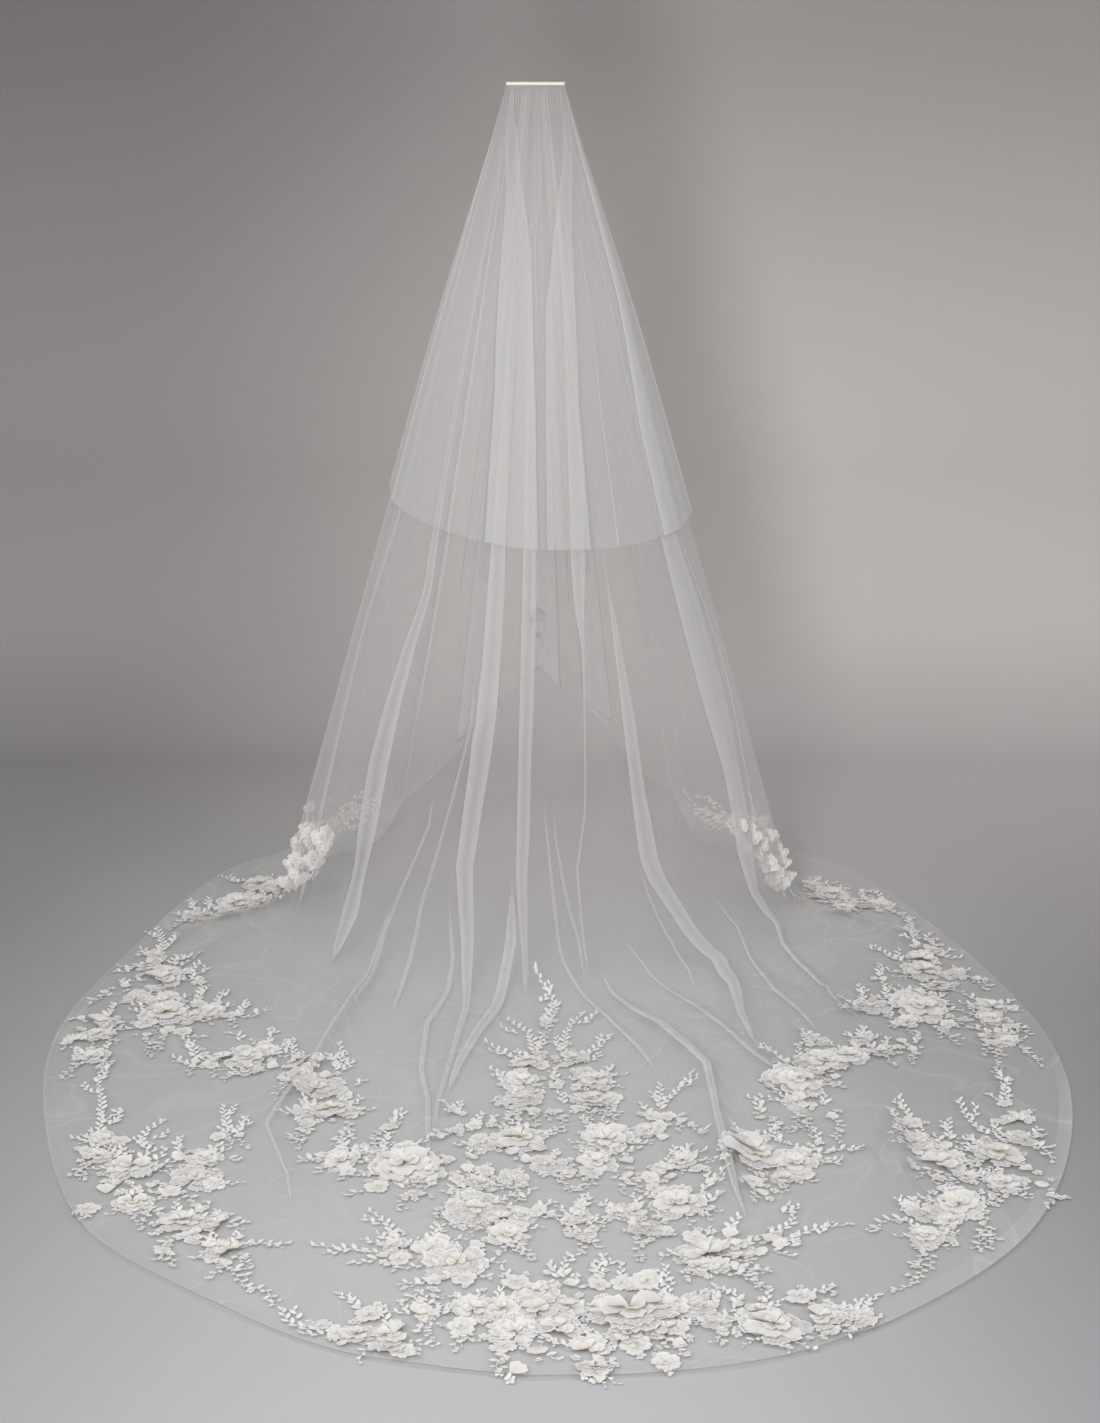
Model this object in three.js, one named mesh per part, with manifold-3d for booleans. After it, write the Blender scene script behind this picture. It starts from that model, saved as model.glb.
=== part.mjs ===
// Bridal veil in two tiers on a hair comb, with a train edged in lace sprays.
// Millimetres, +Z up. The origin is the middle of the comb, the near side faces -Y
// and the train lies on a surface below the comb.
import * as THREE from 'three';
import { mergeVertices } from 'three/addons/utils/BufferGeometryUtils.js';
import Module from 'manifold-3d';

const wasm = await Module();
wasm.setup();

// Driving sizes
const dropToFloor = 1500;       // comb to the surface that the train lies on
const wall = 1.5;               // thickness of a tulle wall
const gap = 0.4;                // air between pieces that touch
const combLength = 100;         // gathered edge along the comb
const combDepth = 5.6;          // inside depth of the gathered edge
const gatherSquareness = 0.4;   // 1 makes the gathered edge an ellipse, 0 a rectangle
const gatherHeight = 10;        // straight gathered band under the comb
const footSide = 486;           // comb axis to where a side of the tent meets the floor
const footFront = 430;
const footBack = 330;
const bendShare = 0.93;         // share of the straight slope before the bend on the floor
const bendReach = 0.08;         // share of the floor run that the bend takes
const columnStep = 9.5;         // widest step between columns of the wall, in degrees

// Hem of the long tier every 15 degrees round the veil, from the middle of the front
// to the middle of the back. The last rows rise off the floor.
const hemStations = [
  { angle: 0, leftX: 0, leftY: -1600, rightX: 0, rightY: -1600, rise: 0 },
  { angle: 15, leftX: 235, leftY: -1545, rightX: 275, rightY: -1570, rise: 0 },
  { angle: 30, leftX: 440, leftY: -1415, rightX: 500, rightY: -1450, rise: 0 },
  { angle: 45, leftX: 630, leftY: -1235, rightX: 705, rightY: -1235, rise: 0 },
  { angle: 60, leftX: 745, leftY: -935, rightX: 825, rightY: -920, rise: 0 },
  { angle: 75, leftX: 790, leftY: -610, rightX: 842, rightY: -600, rise: 0 },
  { angle: 90, leftX: 715, leftY: -225, rightX: 745, rightY: -210, rise: 0 },
  { angle: 105, leftX: 619, leftY: 82, rightX: 640, rightY: 60, rise: 0 },
  { angle: 120, leftX: 520, leftY: 195, rightX: 525, rightY: 195, rise: 0 },
  { angle: 135, leftX: 400, leftY: 330, rightX: 400, rightY: 335, rise: 0 },
  { angle: 150, leftX: 250, leftY: 360, rightX: 265, rightY: 365, rise: 80 },
  { angle: 165, leftX: 125, leftY: 325, rightX: 140, rightY: 330, rise: 195 },
  { angle: 180, leftX: 0, leftY: 290, rightX: 0, rightY: 290, rise: 370 },
];

// Drop of the short tier's hem below the comb, every 30 degrees
const shortHemStations = [
  { angle: 0, left: 772, right: 772 },
  { angle: 30, left: 752, right: 774 },
  { angle: 60, left: 728, right: 765 },
  { angle: 90, left: 705, right: 752 },
  { angle: 120, left: 745, right: 770 },
  { angle: 150, left: 930, right: 880 },
  { angle: 180, left: 962, right: 962 },
];

// Main folds, which start at the comb, stand proud down the slope and die out on the floor
const folds = [
  { name: 'back_left', angle: -167, half: 8, foot: 34, floor: 30 },
  { name: 'side_back_left', angle: -120, half: 7, foot: 16, floor: 8 },
  { name: 'side_left', angle: -66, half: 4, foot: 14, floor: 8 },
  { name: 'broad_left', angle: -45, half: 5, foot: 24, floor: 16 },
  { name: 'thin_left', angle: -29, half: 3.5, foot: 13, floor: 8 },
  { name: 'inner_left', angle: -16, half: 4, foot: 22, floor: 15 },
  { name: 'middle', angle: -3.4, half: 3.4, foot: 20, floor: 0 },
  { name: 'thin_middle', angle: 9.5, half: 3, foot: 13, floor: 0 },
  { name: 'inner_right', angle: 26, half: 5, foot: 26, floor: 18 },
  { name: 'broad_right', angle: 53, half: 5, foot: 22, floor: 15 },
  { name: 'side_right', angle: 68, half: 4, foot: 14, floor: 8 },
  { name: 'side_back_right', angle: 122, half: 7, foot: 16, floor: 8 },
  { name: 'back_right', angle: 163, half: 7, foot: 30, floor: 26 },
];

// Rows of the walls: down the slope to the short tier's hem, on to the bend,
// round the bend and out over the floor
const upperRows = [0.3, 0.65, 1];
const lowerRows = [0.5, 1];
const bendRows = [0.35, 0.7, 1];
const floorRows = [0.25, 0.4, 0.7, 1];
const foldEnd = 0.25;           // share of the floor run where every fold has died out

const lerp = (a, b, t) => a + (b - a) * t;
const radians = (degrees) => (degrees * Math.PI) / 180;

// Reads a smooth value from a table of stations with equal steps of angle
function stationValue(stations, angle, leftColumn, rightColumn) {
  const column = angle < 0 ? leftColumn : rightColumn;
  const step = stations[1].angle;
  const place = Math.min(Math.abs(angle) / step, stations.length - 1);
  const i = Math.min(Math.floor(place), stations.length - 2);
  const t = place - i;
  const value = (k) => stations[Math.max(0, Math.min(stations.length - 1, k))][column];
  const [a, b, c, d] = [value(i - 1), value(i), value(i + 1), value(i + 2)];
  const inner = 2 * b + (c - a) * t + (2 * a - 5 * b + 4 * c - d) * t * t;
  return 0.5 * (inner + (3 * b - a - 3 * c + d) * t * t * t);
}

function hemPoint(angle) {
  const x = stationValue(hemStations, angle, 'leftX', 'rightX') * Math.sign(angle);
  const y = stationValue(hemStations, angle, 'leftY', 'rightY');
  const rise = Math.max(0, stationValue(hemStations, angle, 'rise', 'rise'));
  return new THREE.Vector3(x, y, rise - dropToFloor);
}

function gatherPoint(angle, z) {
  const a = radians(angle);
  const depth = Math.sign(Math.cos(a)) * Math.abs(Math.cos(a)) ** gatherSquareness;
  return new THREE.Vector3((combLength / 2) * Math.sin(a), (-combDepth / 2) * depth, z);
}

// Where the slope meets the floor, or a little above the hem where the hem is off the floor
function footPoint(angle) {
  const a = radians(angle);
  const reach = Math.cos(a) > 0 ? footFront : footBack;
  const onFloor = new THREE.Vector3(footSide * Math.sin(a), -reach * Math.cos(a), -dropToFloor);
  const hem = hemPoint(angle);
  const aboveHem = gatherPoint(angle, -gatherHeight).lerp(hem, 0.97);
  const off = THREE.MathUtils.smoothstep(hem.z + dropToFloor, 0, 90);
  return onFloor.lerp(aboveHem, off);
}

// A place down the wall: part 0 is the gathered band, 1 the slope, 2 the bend, 3 the floor run
function bareSurface(angle, part, t) {
  const gather = gatherPoint(angle, -gatherHeight);
  const foot = footPoint(angle);
  const hem = hemPoint(angle);
  const bendStart = gather.clone().lerp(foot, bendShare);
  const bendEnd = foot.clone().lerp(hem, bendReach);
  if (part === 0) return gatherPoint(angle, lerp(0, -gatherHeight, t));
  if (part === 1) return gather.lerp(bendStart, t);
  if (part === 2) return new THREE.QuadraticBezierCurve3(bendStart, foot, bendEnd).getPoint(t);
  return bendEnd.lerp(hem, t);
}

// How far a fold stands proud of the bare wall
function foldHeight(angle, part, t) {
  const near = folds.find((fold) => Math.abs(fold.angle - angle) < fold.half);
  if (!near || part === 0) return 0;
  const share = 1 - Math.abs(near.angle - angle) / near.half;
  if (part === 1) return share * near.foot * t;
  if (part === 2) return share * lerp(near.foot, near.floor, t);
  const offFloor = hemPoint(angle).z > -dropToFloor + 1;
  return share * near.floor * (offFloor ? 1 : Math.max(0, 1 - t / foldEnd));
}

function surfaceNormal(angle, part, t) {
  const along = 0.5;
  const down = 0.01;
  const low = Math.max(0, t - down);
  const high = Math.min(1, t + down);
  const across = bareSurface(angle + along, part, t).sub(bareSurface(angle - along, part, t));
  const length = bareSurface(angle, part, high).sub(bareSurface(angle, part, low));
  return across.cross(length).normalize().negate();
}

// A point at a distance outside the folded wall's inner face
function surfacePoint(angle, part, t, out) {
  const normal = surfaceNormal(angle, part, t);
  const lift = foldHeight(angle, part, t) + out;
  return bareSurface(angle, part, t).addScaledVector(normal, lift);
}

// Columns stand at each fold's crest and sides, with even ones between them
function wallColumns() {
  const marks = folds.flatMap((fold) => [fold.angle - fold.half, fold.angle, fold.angle + fold.half]);
  const crossing = marks.map((mark) => (mark > 180 ? mark - 360 : mark)).sort((a, b) => a - b);
  const columns = [];
  crossing.forEach((mark, i) => {
    const next = i + 1 < crossing.length ? crossing[i + 1] : crossing[0] + 360;
    const steps = Math.max(1, Math.ceil((next - mark) / columnStep));
    for (let k = 0; k < steps; k += 1) {
      const angle = lerp(mark, next, k / steps);
      columns.push(angle > 180 ? angle - 360 : angle);
    }
  });
  return columns;
}

// Closed wall between an inner and an outer grid of points, a ring open at both ends
function wallGeometry(columns, rows, pointAt) {
  const positions = [];
  const indices = [];
  for (const side of [0, 1]) {
    for (const row of rows) {
      for (const angle of columns) positions.push(...pointAt(angle, row, side).toArray());
    }
  }
  const count = columns.length;
  const index = (side, r, c) => (side * rows.length + r) * count + (c % count);
  const quad = (a, b, c, d) => indices.push(a, b, c, a, c, d);
  for (let c = 0; c < count; c += 1) {
    for (let r = 0; r + 1 < rows.length; r += 1) {
      quad(index(1, r, c), index(1, r + 1, c), index(1, r + 1, c + 1), index(1, r, c + 1));
      quad(index(0, r, c), index(0, r, c + 1), index(0, r + 1, c + 1), index(0, r + 1, c));
    }
    const last = rows.length - 1;
    quad(index(0, 0, c), index(1, 0, c), index(1, 0, c + 1), index(0, 0, c + 1));
    quad(index(1, last, c), index(0, last, c), index(0, last, c + 1), index(1, last, c + 1));
  }
  const geometry = new THREE.BufferGeometry();
  geometry.setAttribute('position', new THREE.Float32BufferAttribute(positions, 3));
  geometry.setIndex(indices);
  geometry.computeVertexNormals();
  return geometry;
}

// Share of the slope at which the short tier ends
function shortHemShare(angle) {
  const slopeEnd = bareSurface(angle, 1, 1).z;
  const hemDrop = stationValue(shortHemStations, angle, 'left', 'right');
  return (hemDrop - gatherHeight) / (-gatherHeight - slopeEnd);
}

// Rows that both tiers share, so that the short one lies evenly on the long one
const upperWallRows = [
  { part: 0, place: () => 0 },
  { part: 0, place: () => 1 },
  ...upperRows.map((t) => ({ part: 1, place: (angle) => t * shortHemShare(angle) })),
];

const lowerWallRows = [
  ...lowerRows.map((t) => ({ part: 1, place: (angle) => lerp(shortHemShare(angle), 1, t) })),
  ...bendRows.map((t) => ({ part: 2, place: () => t })),
  ...floorRows.map((t) => ({ part: 3, place: () => t })),
];

function tierGeometry(rows, lift) {
  return wallGeometry(wallColumns(), rows, (angle, row, side) =>
    surfacePoint(angle, row.part, row.place(angle), lift + side * wall));
}

// Turns a closed mesh into a solid that can be joined and cut
function toSolid(geometry) {
  const bare = geometry.clone();
  bare.deleteAttribute('normal');
  bare.deleteAttribute('uv');
  const merged = mergeVertices(bare, 1e-4);
  const vertProperties = new Float32Array(merged.attributes.position.array);
  const triVerts = new Uint32Array(merged.index.array);
  return new wasm.Manifold(new wasm.Mesh({ numProp: 3, vertProperties, triVerts }));
}

function toGeometry(solid) {
  const mesh = solid.getMesh();
  const geometry = new THREE.BufferGeometry();
  geometry.setAttribute('position', new THREE.Float32BufferAttribute(mesh.vertProperties, 3));
  geometry.setIndex(Array.from(mesh.triVerts));
  geometry.computeVertexNormals();
  return geometry;
}

const joinAll = (solids) => solids.reduce((joined, solid) => joined.add(solid));

function boxSolid(size, centre) {
  const geometry = new THREE.BoxGeometry(...size);
  geometry.translate(...centre);
  return toSolid(geometry);
}

// Hair comb: a spine inside the gathered edge with a row of tapered teeth below it
const spineHeight = 5;
const spineThickness = 3;
const teeth = { count: 20, length: 42, width: 2.2, tip: 1.2, pitch: 4.5 };

function combGeometry() {
  const spine = boxSolid([teeth.pitch * teeth.count, spineThickness, spineHeight], [0, 0, -spineHeight / 2]);
  const root = teeth.width / 2;
  const end = teeth.tip / 2;
  const outline = [[-root, 0], [-end, -teeth.length], [end, -teeth.length], [root, 0]];
  const shape = new THREE.Shape(outline.map(([x, y]) => new THREE.Vector2(x, y)));
  const solids = [spine];
  for (let i = 0; i < teeth.count; i += 1) {
    const tooth = new THREE.ExtrudeGeometry(shape, { depth: teeth.width, bevelEnabled: false });
    tooth.translate(0, 0, -teeth.width / 2);
    tooth.rotateX(Math.PI / 2);
    tooth.translate((i - (teeth.count - 1) / 2) * teeth.pitch, 0, -spineHeight / 2);
    solids.push(toSolid(tooth));
  }
  return toGeometry(joinAll(solids));
}

// Binding: a folded strip over the gathered top edges of both tiers
const bindingWall = 1;
const bindingHeight = 9;
const bindingLip = 1.6;         // strip above the gathered edges

function bindingGeometry() {
  const room = wall * 2 + gap * 2;
  const depth = combDepth + 2 * (room + bindingWall);
  const length = combLength + 2 * (room + bindingWall);
  const top = bindingLip + gap;
  const outer = boxSolid([length, depth, bindingHeight], [0, 0, top - bindingHeight / 2]);
  const channel = [length - 2 * bindingWall, depth - 2 * bindingWall, bindingHeight];
  return toGeometry(outer.subtract(boxSolid(channel, [0, 0, gap - bindingHeight / 2])));
}

// Lace sprays lying on the floor run: heart of the spray, direction of its main stem in
// degrees from +X, length of the stem each way and radius of the largest flower
const floorSprays = [
  { name: 'lace_back_left', x: -592, y: -30, turn: 98, reach: 95, tail: 80, bloom: 32 },
  { name: 'lace_back_right', x: 602, y: -25, turn: 100, reach: 110, tail: 80, bloom: 34 },
  { name: 'lace_outer_left_a', x: -665, y: -345, turn: 103, reach: 150, tail: 95, bloom: 38 },
  { name: 'lace_outer_right_a', x: 695, y: -345, turn: 92, reach: 150, tail: 90, bloom: 42 },
  { name: 'lace_outer_left_b', x: -595, y: -540, turn: -2, reach: 145, tail: 70, bloom: 42 },
  { name: 'lace_outer_right_b', x: 640, y: -530, turn: 164, reach: 112, tail: 60, bloom: 46 },
  { name: 'lace_outer_left_c', x: -726, y: -650, turn: 262, reach: 145, tail: 75, bloom: 32 },
  { name: 'lace_outer_right_c', x: 766, y: -620, turn: 275, reach: 150, tail: 90, bloom: 36 },
  { name: 'lace_inner_left_a', x: -485, y: -715, turn: 172, reach: 75, tail: 60, bloom: 36 },
  { name: 'lace_inner_right_a', x: 515, y: -705, turn: 168, reach: 130, tail: 60, bloom: 40 },
  { name: 'lace_inner_left_b', x: -335, y: -855, turn: 108, reach: 170, tail: 110, bloom: 44 },
  { name: 'lace_inner_right_b', x: 410, y: -890, turn: 150, reach: 95, tail: 70, bloom: 44 },
  { name: 'lace_inner_left_c', x: -235, y: -1070, turn: 176, reach: 130, tail: 70, bloom: 46 },
  { name: 'lace_inner_right_c', x: 345, y: -1045, turn: 15, reach: 130, tail: 60, bloom: 46 },
  { name: 'lace_wing_left_a', x: -605, y: -1115, turn: 106, reach: 225, tail: 75, bloom: 46 },
  { name: 'lace_wing_right_a', x: 592, y: -1010, turn: 98, reach: 150, tail: 75, bloom: 38 },
  { name: 'lace_wing_left_b', x: -468, y: -1170, turn: 88, reach: 225, tail: 60, bloom: 40 },
  { name: 'lace_wing_right_b', x: 712, y: -1055, turn: 80, reach: 190, tail: 80, bloom: 40 },
  { name: 'lace_wing_left_c', x: -405, y: -1305, turn: 300, reach: 120, tail: 45, bloom: 34 },
  { name: 'lace_wing_right_c', x: 600, y: -1195, turn: 238, reach: 190, tail: 45, bloom: 42 },
  { name: 'lace_hem_left', x: -205, y: -1478, turn: 168, reach: 105, tail: 60, bloom: 38 },
  { name: 'lace_hem_right', x: 372, y: -1460, turn: 28, reach: 95, tail: 70, bloom: 40 },
  { name: 'lace_front_left_b', x: -122, y: -1310, turn: 172, reach: 170, tail: 45, bloom: 38 },
  { name: 'lace_front_right_b', x: 278, y: -1290, turn: 18, reach: 165, tail: 45, bloom: 40 },
  { name: 'lace_front_left_a', x: 0, y: -1452, turn: 176, reach: 90, tail: 50, bloom: 54 },
  { name: 'lace_front_right_a', x: 134, y: -1448, turn: 4, reach: 115, tail: 50, bloom: 54 },
  { name: 'lace_front_middle', x: 78, y: -1556, turn: 88, reach: 36, tail: 26, bloom: 24 },
  { name: 'lace_tree_top', x: 25, y: -690, turn: 97, reach: 150, tail: 60, bloom: 34 },
  { name: 'lace_tree_middle', x: 30, y: -835, turn: -4, reach: 105, tail: 100, bloom: 42 },
  { name: 'lace_tree_foot', x: 48, y: -1010, turn: 2, reach: 70, tail: 70, bloom: 34 },
  { name: 'lace_tree_left', x: -88, y: -1150, turn: 98, reach: 190, tail: 50, bloom: 40 },
  { name: 'lace_tree_right', x: 200, y: -1120, turn: 86, reach: 215, tail: 40, bloom: 40 },
  { name: 'lace_tree_tip', x: 66, y: -1228, turn: 88, reach: 80, tail: 48, bloom: 24 },
];

// Lace sprays on the slope, low on each side: angle round the veil and share of the slope
const slopeSprays = [
  { name: 'lace_side_left', angle: -78.6, share: 0.925, turn: 82, reach: 105, tail: 60, bloom: 34 },
  { name: 'lace_side_right', angle: 80.6, share: 0.925, turn: 98, reach: 105, tail: 60, bloom: 34 },
];

const lace = {
  sheet: 2,                     // thickness of leaves, stems and outer petals
  crown: 6.5,                   // height of an inner ring of petals
  petals: 5,
  notch: 0.74,                  // radius between petals as a share of the flower's
  stem: 3.4,
  leafLength: 42,
  leafWidth: 17,
};

// Leaves of a spray: root as a share of its reach, or of its tail if negative, and turn
const leaves = [
  { root: 0.72, turn: 4, size: 1 },
  { root: 0.66, turn: 52, size: 0.9 },
  { root: 0.6, turn: -50, size: 0.8 },
  { root: -0.6, turn: 172, size: 0.8 },
];

// Closed plate of an outline in the spray's own plane
function plateSolid(outline, height) {
  const shape = new THREE.Shape(outline.map(([x, y]) => new THREE.Vector2(x, y)));
  return toSolid(new THREE.ExtrudeGeometry(shape, { depth: height, bevelEnabled: false }));
}

// Round outline with an even number of corners, every second one drawn in by the notch
function flowerOutline(x, y, radius, corners, notch) {
  return Array.from({ length: corners }, (_, i) => {
    const a = 0.2 + (i * 2 * Math.PI) / corners;
    const r = i % 2 ? radius * notch : radius;
    return [x + r * Math.cos(a), y + r * Math.sin(a)];
  });
}

// Pointed outline that grows from a root on the stem's middle line
function leafOutline(root, turn, length, width) {
  const [cos, sin] = [Math.cos(radians(turn)), Math.sin(radians(turn))];
  const corners = [[0, 0], [length * 0.55, -width / 2], [length, 0], [length * 0.55, width / 2]];
  return corners.map(([u, v]) => [root + u * cos - v * sin, u * sin + v * cos]);
}

// One spray flat in its own plane: stem along +X, a crowned flower at the heart,
// a smaller one up the stem and leaves towards the tips
function spraySolid({ reach, tail, bloom }) {
  const half = lace.stem / 2;
  const stem = [[-tail * 0.9, 0], [0, -half], [reach * 0.9, 0], [0, half]];
  const solids = [
    plateSolid(stem, lace.sheet),
    plateSolid(flowerOutline(0, 0, bloom, lace.petals * 2, lace.notch), lace.sheet),
    plateSolid(flowerOutline(0, 0, bloom * 0.55, lace.petals, 1), lace.crown),
  ];
  if (reach > bloom * 1.9) {
    solids.push(plateSolid(flowerOutline(bloom * 1.3, 5, bloom * 0.5, 5, 1), lace.sheet));
  }
  for (const leaf of leaves) {
    const length = lace.leafLength * leaf.size * Math.min(1, reach / 90);
    const root = leaf.root * (leaf.root > 0 ? reach : tail);
    solids.push(plateSolid(leafOutline(root, leaf.turn, length, lace.leafWidth * leaf.size), lace.sheet));
  }
  return joinAll(solids);
}

// Each piece is a named mesh with its own material
const veil = new THREE.Group();

function addPiece(name, geometry, colour, roughness) {
  const material = new THREE.MeshStandardMaterial({ color: colour, roughness, metalness: 0 });
  const mesh = new THREE.Mesh(geometry, material);
  mesh.name = name;
  veil.add(mesh);
  return mesh;
}

addPiece('comb', combGeometry(), 0xe6e3dc, 0.35);
addPiece('comb_binding', bindingGeometry(), 0xefe9dc, 0.6);
addPiece('long_tier', tierGeometry([...upperWallRows, ...lowerWallRows], 0), 0xe9e7e2, 0.8);
addPiece('short_tier', tierGeometry(upperWallRows, wall + gap), 0xefeeea, 0.8);

for (const spray of floorSprays) {
  const mesh = addPiece(spray.name, toGeometry(spraySolid(spray)), 0xf2ede2, 0.75);
  mesh.position.set(spray.x, spray.y, wall + gap - dropToFloor);
  mesh.rotation.z = radians(spray.turn);
}

for (const spray of slopeSprays) {
  const mesh = addPiece(spray.name, toGeometry(spraySolid(spray)), 0xf2ede2, 0.75);
  const normal = surfaceNormal(spray.angle, 1, spray.share);
  const up = bareSurface(spray.angle, 1, 0.5).sub(bareSurface(spray.angle, 1, 1)).normalize();
  const right = up.clone().cross(normal).normalize();
  mesh.position.copy(surfacePoint(spray.angle, 1, spray.share, wall + gap));
  mesh.quaternion.setFromRotationMatrix(new THREE.Matrix4().makeBasis(right, up, normal));
  mesh.rotateZ(radians(spray.turn));
}

export default veil;
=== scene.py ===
# Bridal veil: two tiers of tulle on a hair comb, with lace sprays over a long train.
import math
import bpy
import numpy as np
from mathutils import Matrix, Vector
from mathutils.bvhtree import BVHTree


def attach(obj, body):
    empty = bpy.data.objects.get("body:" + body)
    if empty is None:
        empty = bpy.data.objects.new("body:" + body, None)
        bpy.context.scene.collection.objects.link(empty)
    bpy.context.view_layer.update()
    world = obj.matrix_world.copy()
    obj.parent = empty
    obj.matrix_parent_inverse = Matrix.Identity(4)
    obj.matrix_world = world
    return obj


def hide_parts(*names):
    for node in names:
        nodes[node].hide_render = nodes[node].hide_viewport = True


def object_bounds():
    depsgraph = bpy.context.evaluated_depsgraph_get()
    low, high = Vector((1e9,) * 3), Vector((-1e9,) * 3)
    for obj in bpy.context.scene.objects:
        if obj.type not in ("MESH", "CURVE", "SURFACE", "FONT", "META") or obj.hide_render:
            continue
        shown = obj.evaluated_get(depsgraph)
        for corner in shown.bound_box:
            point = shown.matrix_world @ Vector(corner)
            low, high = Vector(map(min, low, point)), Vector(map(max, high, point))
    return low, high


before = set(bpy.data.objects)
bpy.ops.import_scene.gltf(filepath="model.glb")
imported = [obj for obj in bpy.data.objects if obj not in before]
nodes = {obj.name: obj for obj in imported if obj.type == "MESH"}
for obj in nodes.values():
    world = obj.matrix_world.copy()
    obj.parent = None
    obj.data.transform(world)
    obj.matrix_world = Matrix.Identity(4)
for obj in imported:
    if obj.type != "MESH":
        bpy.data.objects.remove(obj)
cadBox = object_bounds()

# Photo frame and the camera that stands at its viewing angle
camera = {
    "place": (0.025, -4.0, 0.1346),
    "pitch": 72.4,  # degrees up from straight down
    "lens": 56.67,
    "sensor": 36.0,
}

studio = {
    "floorFront": -5.5,  # metres along Y where the floor starts
    "floorRows": (-2.5, -1.0),  # where the floor is divided
    "sweepStart": 0.78,  # where the floor turns up into the wall
    "sweepRadius": 0.55,
    "sweepSteps": 16,
    "wallTop": 2.6,
    "halfWidth": 6.5,
    # The paper's tones paint light and shade: the wall darker at the left and the top, lighter at the right
    # where the lamps fall
    "wallLeft": (0.345, 0.323, 0.315),
    "wallRight": (0.585, 0.553, 0.533),
    "wallAcross": (-0.95, 0.55),  # along X, from its left tone to its right one
    "wallTopShare": 0.58,  # how much of its tone the wall keeps at the top of the photo, as painted shade
    "wallFades": (-0.9, 0.3),  # heights between which it falls to that
    "topGlow": 0.22,  # painted pool of light at the top, over the comb
    "glowHeights": (0.0, 0.6),
    "glowMiddle": 0.03,
    "glowReach": (0.2, 0.65),  # distances from its middle between which it ends
    "shadow": 0.17,  # painted soft shadow of the veil on the wall, at its right
    "shadowLine": (0.205, 0.176),  # slope and place of the line that it follows
    "shadowReach": (0.02, 0.30),
    "shadowHeights": (0.45, 0.1),
    # painted light on the floor: lighter in front of the middle, darker at the sides and at the far left
    "floorNear": (0.46, 0.459, 0.467),
    "floorSide": (0.238, 0.235, 0.24),
    "floorMiddle": -0.04,
    "floorReach": (0.1, 1.3),  # distances from the middle between which the near floor darkens, a painted falloff of light
    "floorFarLeft": (0.305, 0.288, 0.288),
    "floorFarRight": (0.53, 0.497, 0.483),
    "farAcross": (-1.1, 0.15),  # along X, from the far floor's left tone to its right one
    "floorDepth": (-0.9, 0.9),  # along Y, from the near floor to the far one
    "wallFoot": (-1.5, -1.25),  # heights between which the floor becomes the wall
    "world": (0.93, 0.96, 1.0),
    "worldStrength": 0.42,
}

# Each lamp: place, aim, width, height, watts and colour
lamps = {
    "key": {"at": (-0.95, -4.4, 0.95), "aim": (0.5, 0.9, -0.5), "size": (0.8, 0.8), "watts": 70,
            "colour": (1.0, 0.985, 0.965)},
    "fill": {"at": (2.7, -2.9, 0.5), "aim": (0.15, -0.1, -0.8), "size": (1.6, 1.6), "watts": 33,
             "colour": (1.0, 0.98, 0.96)},
    "left": {"at": (-2.7, -2.3, 0.3), "aim": (-0.15, 0.0, -0.9), "size": (1.6, 1.6), "watts": 20,
             "colour": (1.0, 0.985, 0.965)},
    "overhead": {"at": (-0.4, -2.3, 1.7), "aim": (0.0, -1.5, -1.5), "size": (2.4, 1.8), "watts": 40,
                 "colour": (0.97, 0.985, 1.0)},
}


# New object in the scene that holds a mesh, a lamp or a camera
def addObject(name, data):
    made = bpy.data.objects.new(name, data)
    bpy.context.scene.collection.objects.link(made)
    return made


def makeStudio():
    low = cadBox[0].z
    start = studio["sweepStart"]
    bend = studio["sweepRadius"]
    profile = [(y, low) for y in (studio["floorFront"], *studio["floorRows"], start)]
    for step in range(1, studio["sweepSteps"] + 1):
        turn = math.pi / 2 * step / studio["sweepSteps"]
        profile.append((start + bend * math.sin(turn), low + bend * (1 - math.cos(turn))))
    profile.append((start + bend, studio["wallTop"]))
    wide = studio["halfWidth"]
    verts = [(side, y, z) for y, z in profile for side in (-wide, wide)]
    faces = [(2 * i, 2 * i + 1, 2 * i + 3, 2 * i + 2) for i in range(len(profile) - 1)]
    mesh = bpy.data.meshes.new("backdrop")
    mesh.from_pydata(verts, [], faces)
    mesh.polygons.foreach_set("use_smooth", [True] * len(faces))
    backdrop = addObject("backdrop", mesh)
    backdrop.data.materials.append(paperMaterial())

    for name, lamp in lamps.items():
        data = bpy.data.lights.new(name, "AREA")
        data.shape = "RECTANGLE"
        data.size, data.size_y = lamp["size"]
        data.energy = lamp["watts"]
        data.color = lamp["colour"]
        light = addObject(name, data)
        light.location = lamp["at"]
        aim = Vector(lamp["aim"]) - Vector(lamp["at"])
        light.rotation_euler = aim.to_track_quat("-Z", "Y").to_euler()

    world = bpy.data.worlds.new("room")
    world.use_nodes = True
    sky = world.node_tree.nodes["Background"]
    sky.inputs["Color"].default_value = (*studio["world"], 1)
    sky.inputs["Strength"].default_value = studio["worldStrength"]
    bpy.context.scene.world = world

    view = bpy.data.cameras.new("camera")
    view.lens = camera["lens"]
    view.sensor_width = camera["sensor"]
    eye = addObject("camera", view)
    eye.location = camera["place"]
    eye.rotation_euler = (math.radians(camera["pitch"]), 0, 0)
    bpy.context.scene.camera = eye
    bpy.context.scene.view_settings.view_transform = "Standard"
    bpy.context.scene.cycles.transparent_max_bounces = 32   # sheer layers one behind another
    print("studio ready")


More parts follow.
